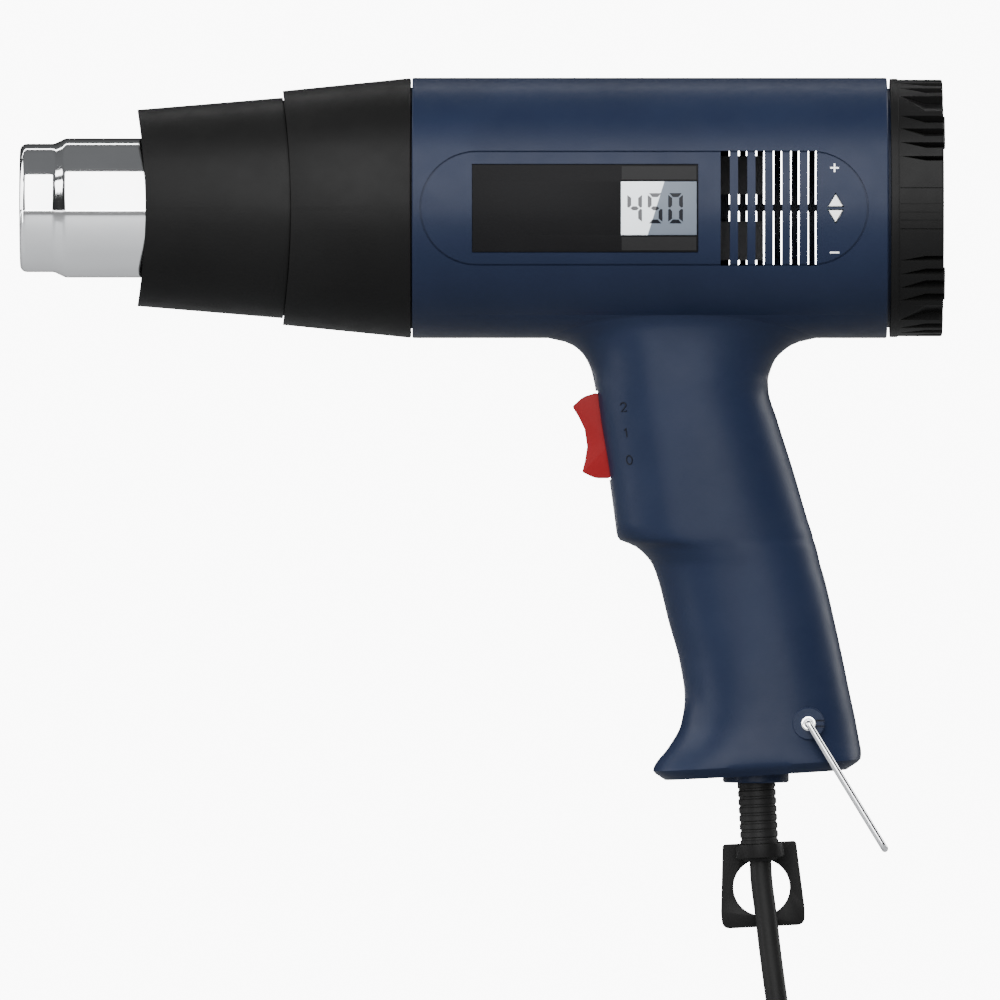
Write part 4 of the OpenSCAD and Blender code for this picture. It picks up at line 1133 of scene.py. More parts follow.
@dataclass
class Nozzle:
    """Polished tube with its slip-on seat."""

    steel: PolishedSteel
    tip_x: float = -197.9
    seat_r: float = 17.5
    seat_end_x: float = -188.2
    tube_x: float = -185.7
    tube_r: float = 19.0
    flange_x: float = -87.5
    flange_r: float = 31.9
    sheet: float = 0.9
    lip: float = 1.9

    def build(self, shop: Shop) -> None:
        """Makes the tube."""
        t, lip, tip, r = self.sheet, self.lip, self.tip_x, self.seat_r
        roll = [(tip + lip * (1.0 - math.cos(a)), r - lip * (1.0 - math.sin(a)))
                for a in (math.radians(15.0 * i) for i in range(7))]
        shoulder = [(self.seat_end_x - 0.4, r), (self.tube_x + 0.2, self.tube_r)]
        outer = fillet([roll[-1], *shoulder, (self.flange_x, self.tube_r),
                        (self.flange_x, self.flange_r)], [0.0, 3.3, 3.3, 0.6, 0.0])
        back = self.flange_x + 1.0
        inner = fillet([(back, self.flange_r), (back, self.tube_r - t),
                        *[(x, y - t) for x, y in reversed(shoulder)], (tip + 2.0, r - t)],
                       [0.0, 0.6, 3.3, 3.3, 0.0])
        curl = [(tip + 1.8, r - 1.7), (tip + 1.1, r - 2.25), (tip + 0.3, r - 2.3)]
        outer, inner = roll[:-1] + outer, inner + curl
        tube = turned(outer + inner, 256)
        shop.piece("nozzle", tube, self.steel, "gun", ["nozzle_tube"], 40.0)


# ------------------------------------------------------------------ rear cap


@dataclass
class RearCap:
    """Rear cap: flange ring, blade-shaped grip grooves, intake slots and feet."""

    plastic: MouldedPlastic
    start_x: float = 39.05
    end_x: float = 53.4
    radius: float = 35.25
    flange: float = 2.15
    floor: float = 2.2
    slots: int = 24
    # Angle of each groove's straight wall from the mid-plane, and of its far edge at the rear
    grooves: tuple[Flat, ...] = ((23.9, 21.6), (30.8, 27.8), (38.2, 33.8), (45.8, 41.4),
                                 (60.4, 48.7), (68.6, 63.6), (76.0, 71.4), (84.0, 79.0))
    depth: float = 2.6
    full_share: float = 0.55
    hairlines: tuple[float, ...] = (9.1, 1.9, -1.8, -5.3, -9.2)

    def spot(self, x: float, r: float, angle: float) -> Vector:
        """A point at an angle above the display side's mid-plane."""
        a = math.radians(angle)
        return Vector((x, -r * math.cos(a), BARREL_Z + r * math.sin(a)))

    def groove(self, wall: float, edge: float, mirror: Flat) -> bmesh.types.BMesh:
        """Cutter of one groove: nothing at the flange, soon full, and open at the rear."""
        x0, x1 = self.start_x + self.flange + 0.25, self.end_x + 1.0
        x_full = x0 + (x1 - x0) * self.full_share
        r = self.radius - 0.2
        wall, edge = (mirror[0] * a + mirror[1] for a in (wall, edge))
        bm = bmesh.new()
        corners = [(x0, r, wall), (x_full, r - self.depth, wall), (x1, r - self.depth, wall),
                   (x_full, r, edge), (x1, r, edge), (x0, r + 4.0, wall), (x1, r + 4.0, wall),
                   (x_full, r + 4.0, edge), (x1, r + 4.0, edge)]
        for corner in corners:
            bmesh.ops.create_vert(bm, co=self.spot(*corner))
        bmesh.ops.convex_hull(bm, input=bm.verts)
        return tidy(bm)

    def body(self) -> bmesh.types.BMesh:
        """Turned body with its grooves and slots."""
        r, x0, x1 = self.radius, self.start_x, self.end_x
        outer = fillet([(x0, 32.9), (x0, r), (x0 + self.flange, r),
                        (x0 + self.flange, r - 0.25), (x1, r - 0.25), (x1, 0.0)],
                       [0.0, 0.3, 0.15, 0.0, 0.6, 0.0], 4)
        inner = [(x1 - self.floor, 0.0), (x1 - self.floor, r - 5.0), (44.6, r - 5.0),
                 (44.6, 32.9)]
        cap = turned(outer + inner, 288)
        tools = []
        for mirror in ((1.0, 0.0), (-1.0, 0.0), (-1.0, 180.0), (1.0, 180.0)):
            tools += [self.groove(w, e, mirror) for w, e in self.grooves]
        for half_turn in (0.0, 180.0):
            for angle in self.hairlines:
                deep = 0.5 if abs(angle) > 9.0 else 0.2
                line = block((x0 + self.flange + 0.3, -r - 1.0, BARREL_Z - 0.12),
                             (x1 + 1.0, -r + 0.25 + deep, BARREL_Z + 0.12))
                tools.append(self.swung(line, half_turn + angle))
        for i in range(self.slots):
            tools.append(self.swung(self.slot(), 360.0 * i / self.slots))
        return cut(cap, *tools)

    def swung(self, bm: bmesh.types.BMesh, angle: float) -> bmesh.types.BMesh:
        """Turns a solid about the barrel's axis."""
        bmesh.ops.rotate(bm, cent=(0.0, 0.0, BARREL_Z), verts=bm.verts,
                         matrix=Matrix.Rotation(math.radians(-angle), 3, "X"))
        return bm

    def slot(self) -> bmesh.types.BMesh:
        """Cutter of one intake slot with round ends."""
        x0, points = self.end_x - self.floor - 1.0, []
        for y, start in ((-12.0, -90.0), (-27.5, 90.0)):
            for i in range(9):
                a = math.radians(start + 22.5 * i)
                points.append((x0, y + math.cos(a), BARREL_Z + math.sin(a)))
        return prism(points, (self.floor + 2.0, 0.0, 0.0))

    def build(self, shop: Shop) -> None:
        """Makes the cap."""
        shop.piece("intake_cap", self.body(), self.plastic, "gun", ["rear_cap"])
        pads = []
        for angle in (39.5, 140.5, 219.5, 320.5):
            pad = block((self.end_x - 0.2, -self.radius + 1.7, BARREL_Z - 4.7),
                        (self.end_x + 0.4, -self.radius + 4.5, BARREL_Z + 4.7))
            pads.append(self.swung(soften(pad, 0.18, 2), angle))
        shop.piece("cap_feet", joined(pads), self.plastic, "gun")


# ------------------------------------------------------------------ display side


@dataclass(frozen=True)
class Film:
    """Printed film with a faint ripple."""

    name: str
    colour: Point
    roughness: float = 0.4

    def material(self) -> bpy.types.Material:
        """Makes the material."""
        desk = Desk(self.name)
        cloud = desk.noise(0.09, 3.0)
        dark = tuple(c * 0.8 for c in self.colour)
        return desk.shade(
            Base_Color=desk.blend(cloud, dark, self.colour),
            Roughness=cloud.ramp(0.3, 0.8) * 0.06 + self.roughness,
            Normal=desk.bump(desk.noise(0.22, 1.0), 0.02, 0.3), Specular_IOR_Level=0.03)


@dataclass(frozen=True)
class LiquidCrystal:
    """Grey display, or the ink of its digits, with a painted sheen: in front of a slanting line the
    colour is lighter, as a painted reflection on the window.
    """

    name: str
    # Colour under the painted sheen, a painted reflection; plain is the colour beyond it.
    painted_sheen_colour: Point = (0.72, 0.76, 0.79)
    plain: Point = (0.1, 0.118, 0.145)
    lean: float = 0.312
    edge: float = -59.1

    def material(self) -> bpy.types.Material:
        """Makes the material."""
        desk = Desk(self.name)
        # Painted sheen: 1 in front of the slanting line and 0 behind it, mixing in the painted
        # reflection colour.
        slant = desk.axis("X") - desk.axis("Z") * self.lean
        sheen = 1.0 - slant.ramp(self.edge - 0.12, self.edge + 0.12)
        cloud = desk.noise(0.12, 2.0) * 0.12
        return desk.shade(
            Base_Color=desk.blend(sheen - cloud, self.plain, self.painted_sheen_colour),
            Roughness=0.3, Specular_IOR_Level=0.1,
            Normal=desk.bump(desk.noise(1.6, 1.0), 0.004, 0.3))


@dataclass
class Display:
    """Label plate, display window with its digits, buttons and marks."""

    film: Film
    strip: Film
    crystal: LiquidCrystal
    ink: LiquidCrystal
    white: MouldedPlastic
    radius: float = BARREL_R
    label: Flat = LABEL
    label_half: float = LABEL_HALF
    window: Flat = (-34.3, -13.75)
    window_half: float = 7.3
    number: str = "450"
    digit: Flat = (4.0, 8.2)
    bar: float = 1.05
    pitch: float = 5.55
    arrow: Arrow = Arrow()

    def curved_plate(self, x0: float, x1: float, z0: float, z1: float, depth: float,
                     lift: float = 0.0, opening: Sequence[float] = ()) -> bmesh.types.BMesh:
        """Plate that follows the barrel.

        Args:
            x0: its front end.
            x1: its rear end.
            z0: its lower edge above the axis.
            z1: its upper edge above the axis.
            depth: how deep it goes.
            lift: how far its face stands off the barrel.
            opening: ends and edges of a window through it, if it has one.

        Returns:
            The plate.
        """
        r = self.radius + lift
        turn0, turn1 = (math.asin(z / self.radius) for z in (z0, z1))
        bm = bmesh.new()
        edge = chain(bm, [(x0, -r * math.cos(turn0), BARREL_Z + r * math.sin(turn0)),
                          (x1, -r * math.cos(turn0), BARREL_Z + r * math.sin(turn0))])
        steps = max(2, round((turn1 - turn0) * 50))
        bmesh.ops.spin(bm, geom=edge, cent=(0.0, 0.0, BARREL_Z), axis=(-1.0, 0.0, 0.0),
                       angle=turn1 - turn0, steps=steps)
        tidy(bm)
        if opening:
            a, b, low, high = opening
            ends = [((x, 0.0, 0.0), (1.0, 0.0, 0.0)) for x in (a, b)]
            edges = [((0.0, 0.0, BARREL_Z + z), (0.0, 0.0, 1.0)) for z in (low, high)]
            for where, across in ends + edges:
                bmesh.ops.bisect_plane(bm, geom=bm.verts[:] + bm.edges[:] + bm.faces[:],
                                       plane_co=where, plane_no=across)
            middles = ((f, f.calc_center_median()) for f in bm.faces)
            inside = [f for f, m in middles if a < m.x < b and low < m.z - BARREL_Z < high]
            bmesh.ops.delete(bm, geom=inside, context="FACES")
        face = list(bm.faces)
        made = bmesh.ops.extrude_face_region(bm, geom=face, use_keep_orig=True)["geom"]
        for v in vertices_of(made):
            offset = Vector((0.0, v.co.y, v.co.z - BARREL_Z))
            v.co -= offset.normalized() * depth
        return tidy(bm)

    def segments(self) -> dict[str, list[Flat]]:
        """Outlines of the seven segments of a digit, about its middle."""
        w, h, t, g = self.digit[0] / 2.0, self.digit[1] / 2.0, self.bar, 0.16
        top = [(-w + g * 2, h), (w - g * 2, h), (w - t - g * 1.2, h - t), (-w + t + g * 1.2, h - t)]
        side = [(w, h - g * 3), (w, g * 2), (w - t * 0.5, g), (w - t, t * 0.6 + g),
                (w - t, h - t - g * 1.5)]
        middle = [(-w + t * 0.8, 0.0), (-w + t * 1.4, t / 2), (w - t * 1.4, t / 2),
                  (w - t * 0.8, 0.0), (w - t * 1.4, -t / 2), (-w + t * 1.4, -t / 2)]
        return {"a": top, "b": side, "c": [(x, -z) for x, z in side],
                "d": [(x, -z) for x, z in top], "e": [(-x, -z) for x, z in side],
                "f": [(-x, z) for x, z in side], "g": middle}

    def digits(self) -> bmesh.types.BMesh:
        """The shown number, in seven-segment digits."""
        lit = {"4": "bcfg", "5": "acdfg", "0": "abcdef"}
        left = (self.window[0] + self.window[1]) / 2.0 - self.pitch - 1.01
        shapes, parts = self.segments(), []
        for i, digit in enumerate(self.number):
            for key in lit[digit]:
                outline = [self.on_barrel(left + i * self.pitch + a, b, -0.08)
                           for a, b in shapes[key]]
                parts.append(prism(outline, (0.0, -0.05, 0.0)))
        return joined(parts)

    def on_barrel(self, x: float, z: float, lift: float) -> Point:
        """Point of the display side's surface."""
        return (x, -math.sqrt((self.radius + lift) ** 2 - z * z), BARREL_Z + z)

    def button(self, way: int) -> bmesh.types.BMesh:
        """Triangular button with its stem."""
        arrow, face_y = self.arrow, -(self.radius + 0.4)
        x, foot, z = arrow.x, arrow.foot, BARREL_Z + way * arrow.start
        outline = [(x - foot, face_y, z), (x + foot, face_y, z), (x, face_y, z + way * arrow.rise)]
        key = soften(prism(outline, (0.0, 3.7, 0.0)), 0.22, 3)
        mid = BARREL_Z + way * (arrow.start + 1.14)
        flange = block((x - 2.7, -32.2, mid - 1.1), (x + 2.7, -31.2, mid + 1.1))
        stem = rod((x, -32.2, mid), (x, -31.0, mid), 0.9, 20)
        return joined([key, flange, stem])

    def build(self, shop: Shop) -> None:
        """Makes everything on the display side."""
        w0, w1 = self.window
        half, gap = self.window_half, 0.12
        x0, x1 = self.label
        frame = self.curved_plate(x0, x1, -self.label_half, self.label_half, 0.75, -0.02,
                                  (w0 - gap, w1 + gap, -half - gap, half + gap))
        frame = soften(frame, 0.09, 2, 50.0)
        shop.piece("label", frame, self.film, "gun", ["label_plate"])
        strips = joined([self.curved_plate(w0 + 0.2, w1 - 0.1, z0, z1, 0.1, 0.03)
                         for z0, z1 in ((half + 0.5, self.label_half - 0.5),
                                        (-self.label_half + 0.5, -half - 0.5))])
        shop.piece("label_strips", strips, self.strip, "gun")
        glass = soften(self.curved_plate(w0, w1, -half, half, 0.6, -0.1), 0.08, 2, 50.0)
        shop.piece("display_glass", glass, self.crystal, "gun",
                   ["display_window"])
        shop.piece("display_digits", self.digits(), self.ink, "gun")
        for way, name in ((1, "button_up"), (-1, "button_down")):
            shop.piece(name + "_key", self.button(way), self.white, name, [name])
        marks = []
        for z, tall in ((10.95, True), (-12.0, False)):
            x, long, thick = self.arrow.x - 0.3, 1.15, 0.22
            sizes = [(long, thick), (thick, long)] if tall else [(long * 1.1, thick)]
            for a, b in sizes:
                marks.append(self.curved_plate(x - a, x + a, z - b, z + b, 0.15, 0.05))
        shop.piece("button_marks", joined(marks), self.white, "gun")


# ------------------------------------------------------------------ rocker switch


@dataclass
class Rocker:
    """Three-position rocker and the block that carries it."""

    red: MouldedPlastic
    black: MouldedPlastic
    place: Flat = SWITCH
    tilt: float = SWITCH_TILT
    length: float = 23.4
    width: float = 13.0
    pin_x: float = 2.4
    pin_r: float = 1.3

    def seated(self, bm: bmesh.types.BMesh) -> bmesh.types.BMesh:
        """Takes a solid from the switch's frame to the gun's."""
        x, z = self.place
        frame = Matrix.Translation((x, 0.0, z)) @ Matrix.Rotation(-math.radians(self.tilt), 4, "Y")
        bmesh.ops.transform(bm, matrix=frame, verts=bm.verts)
        return bm

    def outline(self) -> list[Flat]:
        """Side view of the rocker."""
        h = self.length / 2.0
        upper = fillet(
            [(1.4, h - 0.6), (-0.4, h), (-3.9, h - 0.5), (-7.1, h - 2.7), (-5.9, h - 5.6),
             (-4.75, 2.4), (-4.75, 0.0)],
            [0.0, 0.6, 6.0, 0.5, 6.0, 1.2, 0.0], 6)
        lower = [(x, -z) for x, z in reversed(upper[:-1])]
        foot = fillet([(1.4, -h + 0.6), (3.4, -5.0), (6.0, -2.6), (6.0, 2.6), (3.4, 5.0),
                       (1.4, h - 0.6)], [0.0, 1.0, 1.0, 1.0, 1.0, 0.0], 3)
        return upper + lower[:-1] + foot[:-1]

    def build(self, shop: Shop) -> None:
        """Makes the rocker and the block."""
        y = self.width / 2.0
        key = prism([(a, y, b) for a, b in self.outline()], (0.0, -self.width, 0.0))
        key = soften(key, 0.55, 3, 60.0, lambda e: e.calc_length() < 12.0
                     and abs(e.verts[0].co.y - e.verts[1].co.y) < 0.1
                     and max(v.co.x for v in e.verts) < 0.5)
        bore = rod((self.pin_x, -20.0, 0.0), (self.pin_x, 20.0, 0.0), self.pin_r, 32)
        shop.piece("rocker_key", self.seated(cut(key, bore)), self.red, "rocker",
                   ["rocker"])
        case = soften(block((2.7, -8.3, -13.8), (17.5, 8.3, 13.8)), 0.4, 2)
        well = block((-1.0, -6.8, -12.3), (8.0, 6.8, 12.3))
        shop.piece("switch_case", self.seated(cut(case, well)), self.black, "gun",
                   ["switch_body"])


# ------------------------------------------------------------------ stand


@dataclass
class Stand:
    """Folding wire stand and the eyelets that it turns in."""

    wire: PolishedSteel
    plated: PolishedSteel
    pivot: Flat = STAND_PIVOT
    wire_r: float = 0.95
    leg_y: float = 18.35
    length: float = 39.9
    angle: float = 58.6
    face_y: float = 16.6

    def build(self, shop: Shop) -> None:
        """Makes the wire and the eyelets."""
        a = math.radians(self.angle)
        way = Vector((math.cos(a), 0.0, -math.sin(a)))
        pivot = Vector((self.pivot[0], 0.0, self.pivot[1]))
        tip = self.length
        half = [(11.9, 0.0), (16.95, 0.0), (self.leg_y, 0.0), (self.leg_y, 1.4),
                (self.leg_y, tip - 4.0), (self.leg_y, tip), (self.leg_y - 4.0, tip), (0.0, tip)]
        line = fillet([(y, d) for y, d in half], [0.0, 0.0, 1.0, 0.0, 0.0, 4.0, 0.0, 0.0], 10)
        path = [pivot + way * d + Vector((0.0, y, 0.0)) for y, d in line]
        path += [Vector((p.x, -p.y, p.z)) for p in reversed(path[:-1])]
        wire = swept(path, self.wire_r, 28)
        shop.piece("stand_wire", wire, self.wire, "stand", ["wire_stand"], 50.0)
        rings = []
        for side in Side:
            y = self.face_y
            bore = self.wire_r + 0.05
            profile = fillet([(y - 5.5, bore), (y + 0.5, bore), (y + 0.5, 2.0), (y, 2.0),
                              (y, bore + 0.55), (y - 5.5, bore + 0.55), (y - 5.5, bore)],
                             [0.0, 0.22, 0.22, 0.0, 0.0, 0.0, 0.0], 5)
            rings.append(turned(profile[:-1], 64, (self.pivot[0], 0.0, self.pivot[1]),
                                (0.0, float(side.value), 0.0)))
        shop.piece("eyelets", joined(rings), self.plated, "gun",
                   ["stand_eyelets"], 40.0)


# ------------------------------------------------------------------ cord outlet


@dataclass
class Outlet:
    """Strain relief and the hanging plate that turns round it."""

    rubber: MouldedPlastic
    plastic: MouldedPlastic
    place: Flat = OUTLET
    lean: float = 3.0
    cord_r: float = 3.0
    relief_r: float = 5.2
    relief_len: float = 24.0
    ring_r: float = 6.55
    ring_top: float = 19.2
    ring_len: float = 4.0
    plate_w: float = 20.5
    plate_h: float = 23.0
    plate_t: float = 2.0
    hole_r: float = 7.7
    hole_drop: float = 12.2

    def seated(self, bm: bmesh.types.BMesh) -> bmesh.types.BMesh:
        """Takes a solid from the outlet's frame, cord down -Z, to the gun's."""
        frame = Matrix.Translation((self.place[0], 0.0, self.place[1])) \
            @ Matrix.Rotation(-math.radians(self.lean), 4, "Y")
        bmesh.ops.transform(bm, matrix=frame, verts=bm.verts)
        return bm

    def relief(self) -> bmesh.types.BMesh:
        """Ribbed, slightly tapered sleeve."""
        r, bore = self.relief_r, self.cord_r + 0.02
        line = [(4.4, bore), (4.4, r + 2.0), (2.8, r + 2.0), (2.8, r)]
        ribs = 9
        for i in range(ribs):
            z = 0.6 - (self.ring_top - 1.2) * i / (ribs - 1)
            line += [(z, r), (z - 0.25, r - 0.28), (z - 0.7, r - 0.28), (z - 0.95, r)]
        low = self.ring_top + self.ring_len + 0.1
        line += [(-self.ring_top, r), (-self.ring_top, r - 0.8), (-low, r - 0.8),
                 (-low, r - 0.2), (-self.relief_len + 0.4, r - 0.4),
                 (-self.relief_len, r - 0.8), (-self.relief_len, bore)]
        return turned(line, 72, (0.0, 0.0, 0.0), (0.0, 0.0, 1.0))

    def plate(self) -> bmesh.types.BMesh:
        """Hanging plate with its clip ring."""
        top, half = -self.ring_top, self.plate_w / 2.0
        low = top - self.plate_h
        y = self.ring_r - 1.2
        line = fillet(
            [(0.0, top), (half - 0.2, top), (half + 1.2, low + 4.6), (half + 1.0, low),
             (0.0, low)],
            [0.0, 1.0, 2.0, 4.2, 0.0], 10)
        outline = [(x, z) for x, z in line] + [(-x, z) for x, z in reversed(line[1:-1])]
        plate = prism([(x, y, z) for x, z in outline], (0.0, self.plate_t, 0.0))
        hole = rod((0.0, 0.0, top - self.hole_drop), (0.0, 20.0, top - self.hole_drop),
                   self.hole_r, 96)
        ring = turned(fillet(
            [(top - self.ring_len, self.cord_r), (top - self.ring_len, self.ring_r),
             (top - 0.1, self.ring_r), (top - 0.1, self.cord_r)], [0.0, 0.4, 0.4, 0.0], 4),
            72, (0.0, 0.0, 0.0), (0.0, 0.0, 1.0))
        whole = cut(fused(cut(plate, hole), ring),
                    rod((0.0, 0.0, top - 8.0), (0.0, 0.0, top + 3.0), 4.48, 64))
        return soften(whole, 0.28, 2, 60.0, lambda e: min(v.co.y for v in e.verts) > y - 0.1
                      and min((v.co - Vector((0.0, v.co.y, top - self.hole_drop))).length
                              for v in e.verts) > self.hole_r - 0.2
                      and max(v.co.z for v in e.verts) < top - self.ring_len - 0.2)

    def build(self, shop: Shop) -> None:
        """Makes the relief and the plate."""
        shop.piece("cord_relief", self.seated(self.relief()), self.rubber, "gun",
                   ["strain_relief"])
        shop.piece("hanging_plate", self.seated(self.plate()), self.plastic, "hanger",
                   ["hanger"])


# ------------------------------------------------------------------ mains lead


@dataclass
class MainsLead:
    """Mains cord, tied in a coil under the gun, with its tie and its plug."""

    rubber: MouldedPlastic
    strap: MouldedPlastic
    metal: PolishedSteel
    diameter: float = 6.0
    route: tuple[Point, ...] = (
        (3.906, 0.0, -67.967), (4.168, 0.0, -72.960), (5.3, 0.0, -82.0), (6.6, 0.0, -93.0),
        (8.2, 0.0, -105.0), (10.4, 0.0, -120.0), (12.8, 0.0, -136.0), (14.9, 0.0, -152.0),
        (16.4, 0.0, -168.0), (17.0, 0.0, -182.0))
    tail: tuple[Point, ...] = (
        (14.4, -5.5, -192.0), (14.6, -7.6, -206.0), (13.6, -8.0, -220.0), (10.8, -6.2, -234.0),
        (7.2, -3.6, -248.0), (4.0, -1.5, -260.0), (4.0, -1.5, -268.0))
    coil_middle: Flat = (-26.0, -190.0)
    coil_r: float = 36.0
    strand_r: float = 6.964
    turns: int = 6
    steps: int = 24
    plug: Point = (4.0, -1.5, -268.0)
    pin_gap: float = 9.5

    def coil(self) -> list[Point]:
        """Points of the coil, whose strands lie in a ring."""
        points = []
        for i in range(self.turns * self.steps + 1):
            a = 2.0 * math.pi * i / self.steps
            twist = a / (self.turns + 1)
            r = self.coil_r + self.strand_r * math.cos(twist)
            points.append((self.coil_middle[0] + r * math.cos(a), self.strand_r * math.sin(twist),
                           self.coil_middle[1] - r * math.sin(a)))
        return points

    def cord(self) -> bpy.types.Object:
        """The cord, as one open curve."""
        points = [*self.route, *self.coil(), *self.tail[1:]]
        data = bpy.data.curves.new("mains_cord", "CURVE")
        data.dimensions = "3D"
        data.bevel_depth = self.diameter / 2.0 * MM
        data.bevel_resolution = 6
        data.resolution_u = data.render_resolution_u = 6
        data.use_fill_caps = True
        spline = data.splines.new("BEZIER")
        spline.bezier_points.add(len(points) - 1)
        for knot, point in zip(spline.bezier_points, points):
            knot.co = [c * MM for c in point]
            knot.handle_left_type = knot.handle_right_type = "AUTO"
        made = bpy.data.objects.new("mains_cord", data)
        bpy.context.scene.collection.objects.link(made)
        return made

    def tie(self) -> bmesh.types.BMesh:
        """Strap round the coil."""
        inner, outer = 10.6, 11.7
        profile = fillet([(-4.0, inner), (-4.0, outer), (4.0, outer), (4.0, inner)],
                         [0.0, 0.5, 0.5, 0.0], 4)
        x, z = self.coil_middle
        return turned(profile, 96, (x, 0.0, z + self.coil_r), (1.0, 0.0, 0.0))

    def plug_body(self) -> bmesh.types.BMesh:
        """Moulded plug with two flats and finger ribs."""
        x, y, z = self.plug
        neck = [(0.0, self.diameter / 2.0), (0.0, 4.4)]
        for i in range(4):
            start = 1.6 + 2.6 * i
            neck += [(start, 4.6), (start + 0.3, 4.1), (start + 1.1, 4.1), (start + 1.4, 4.7)]
        shape = fillet([(12.0, 5.2), (17.0, 8.0), (20.0, 16.0), (23.0, 18.4), (36.0, 18.4),
                        (36.0, 0.0)], [0.0, 4.0, 3.0, 3.0, 1.0, 0.0], 6)
        body = turned(neck + shape + [(34.0, 0.0), (2.0, 0.0), (2.0, self.diameter / 2.0)], 128,
                      (x, y, z), (0.0, 0.0, -1.0))
        tools = []
        for way in (-1.0, 1.0):
            face = sorted((way * 14.0, way * 40.0))
            tools.append(block((x - 40.0, y + face[0], z - 44.0),
                               (x + 40.0, y + face[1], z - 15.0)))
            for i in range(5):
                rib_z = z - 22.0 - 2.4 * i
                rib = sorted((way * 13.4, way * 15.0))
                tools.append(block((x - 7.0, y + rib[0], rib_z - 0.6),
                                   (x + 7.0, y + rib[1], rib_z + 0.6)))
        return soften(cut(body, *tools), 0.25, 2, 60.0)

    def pins(self) -> bmesh.types.BMesh:
        """Two round pins."""
        x, y, z = self.plug
        profile = fillet([(35.0, 0.0), (35.0, 2.4), (57.4, 2.4), (57.4, 0.0)],
                         [0.0, 0.0, 2.2, 0.0], 8)
        return joined([turned(profile, 48, (x + way * self.pin_gap, y, z), (0.0, 0.0, -1.0))
                       for way in (-1.0, 1.0)])

    def build(self, shop: Shop) -> None:
        """Makes the cord, its tie and its plug."""
        cord = self.cord()
        cord.data.materials.append(shop.finish(self.rubber))
        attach(cord, "gun")
        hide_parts("cord", "cord_coil", "cord_tail")
        tie = shop.piece("coil_tie", self.tie(), self.strap, "gun", ["cord_tie"])
        plug = shop.piece("plug_shell", self.plug_body(), self.rubber, "gun",
                          ["plug_body"])
        pins = shop.piece("plug_prongs", self.pins(), self.metal, "gun",
                          ["plug_pins"])


# ------------------------------------------------------------------ small marks and screws


@dataclass
class Marks:
    """Raised numbers beside the rocker, on the grip's side, coloured darker than the housing as
    painted shade.
    """

    # Darker than the housing: painted shade that stands in for the shade round the raised numbers.
    ink: MouldedPlastic
    height: float = 2.4
    width: float = 1.5
    places: tuple[tuple[str, float, float], ...] = (
        ("2", -33.5, 55.9), ("1", -32.7, 48.9), ("0", -31.9, 41.5))
    tilt: float = SWITCH_TILT
    stroke_r: float = 0.2

    def stroke(self, digit: str) -> list[Flat]:
        """Centreline of a digit, about its middle."""
        w, h = self.width / 2.0, self.height / 2.0
        if digit == "1":
            return [(-w * 0.6, h * 0.55), (0.0, h), (0.0, -h)]
        if digit == "2":
            arc = [(w * math.cos(a), h - w + w * math.sin(a))
                   for a in (math.radians(170.0 - 24.0 * i) for i in range(9))]
            return [*arc, (-w, -h), (w, -h)]
        ring = [math.radians(90.0 + 15.0 * i) for i in range(25)]
        return [(w * math.cos(a), h * math.sin(a)) for a in ring]

    def build(self, shop: Shop, skin: bpy.types.Object) -> None:
        """Makes the numbers, laid on the housing's surface."""
        tree = BVHTree.FromPolygons([v.co for v in skin.data.vertices],
                                    [p.vertices for p in skin.data.polygons])
        turn = Matrix.Rotation(math.radians(self.tilt), 2)
        parts = []
        for digit, x0, z0 in self.places:
            path = []
            for flat in self.stroke(digit):
                x, z = turn @ Vector(flat) + Vector((x0, z0))
                hit = tree.ray_cast(Vector((x, -60.0, z)) * MM, Vector((0.0, 1.0, 0.0)))[0]
                path.append(hit / MM)
            parts.append(swept(path, self.stroke_r, 10))
        shop.piece("rocker_numbers", joined(parts), self.ink, "gun")


@dataclass
class Screws:
    """Screws of the housing, in their deep seats on the far side."""

    steel: PolishedSteel
    places: tuple[Flat, ...]
    head_r: float = 2.7
    seat_y: float = 8.0

    def build(self, shop: Shop) -> None:
        """Makes the screws."""
        parts = []
        for x, z in self.places:
            y, r = self.seat_y, self.head_r
            line = fillet([(-7.5, 0.0), (-6.5, 1.25), (y, 1.25), (y, r), (y + 2.0, r),
                           (y + 2.0, 0.0)], [0.0, 0.3, 0.0, 0.25, 0.9, 0.0], 5)
            screw = turned(line, 48, (x, 0.0, z), (0.0, 1.0, 0.0))
            arms = [(0.28, 1.5), (1.5, 0.28)]
            screw = cut(screw, *[block((x - a, y + 0.8, z - b), (x + a, y + 3.0, z + b))
                                 for a, b in arms])
            parts.append(screw)
        shop.piece("case_screws", joined(parts), self.steel, "gun",
                   ["housing_screws"])


# ------------------------------------------------------------------ works inside


@dataclass(frozen=True)
class CircuitBoard:
    """Solder mask over copper tracks, with pale pads."""

    name: str
    mask: Point = (0.008, 0.07, 0.025)
    track: Point = (0.02, 0.14, 0.05)

    def material(self) -> bpy.types.Material:
        """Makes the material."""
        desk = Desk(self.name)
        lines = (desk.axis("X") * 2.4 + desk.noise(0.25, 0.0) * 9.0).wave()
        rows = (desk.axis("Z") * 2.1 + desk.noise(0.2, 0.0) * 7.0).wave()
        tracks = (lines * rows).ramp(0.35, 0.5)
        spots = desk.noise(0.55, 0.0).ramp(0.66, 0.68)
        return desk.shade(
            Base_Color=desk.blend(spots, desk.blend(tracks, self.mask, self.track),
                                  (0.6, 0.6, 0.55)),
            Roughness=0.35 - tracks * 0.08, Metallic=spots * 0.8,
            Normal=desk.bump(tracks, 0.04, 0.6))


@dataclass(frozen=True)
class Laminations:
    """Stacked iron sheets with a dark varnish."""

    name: str

    def material(self) -> bpy.types.Material:
        """Makes the material."""
        desk = Desk(self.name)
        sheets = (desk.axis("X") * 12.5).wave()
        cloud = desk.noise(0.2, 3.0)
        return desk.shade(
            Base_Color=desk.blend(sheets * 0.6 + cloud * 0.4, (0.03, 0.028, 0.027),
                                  (0.2, 0.19, 0.18)),
            Metallic=sheets * 0.7, Roughness=cloud * 0.2 + 0.35,
            Normal=desk.bump(sheets, 0.03, 0.7))


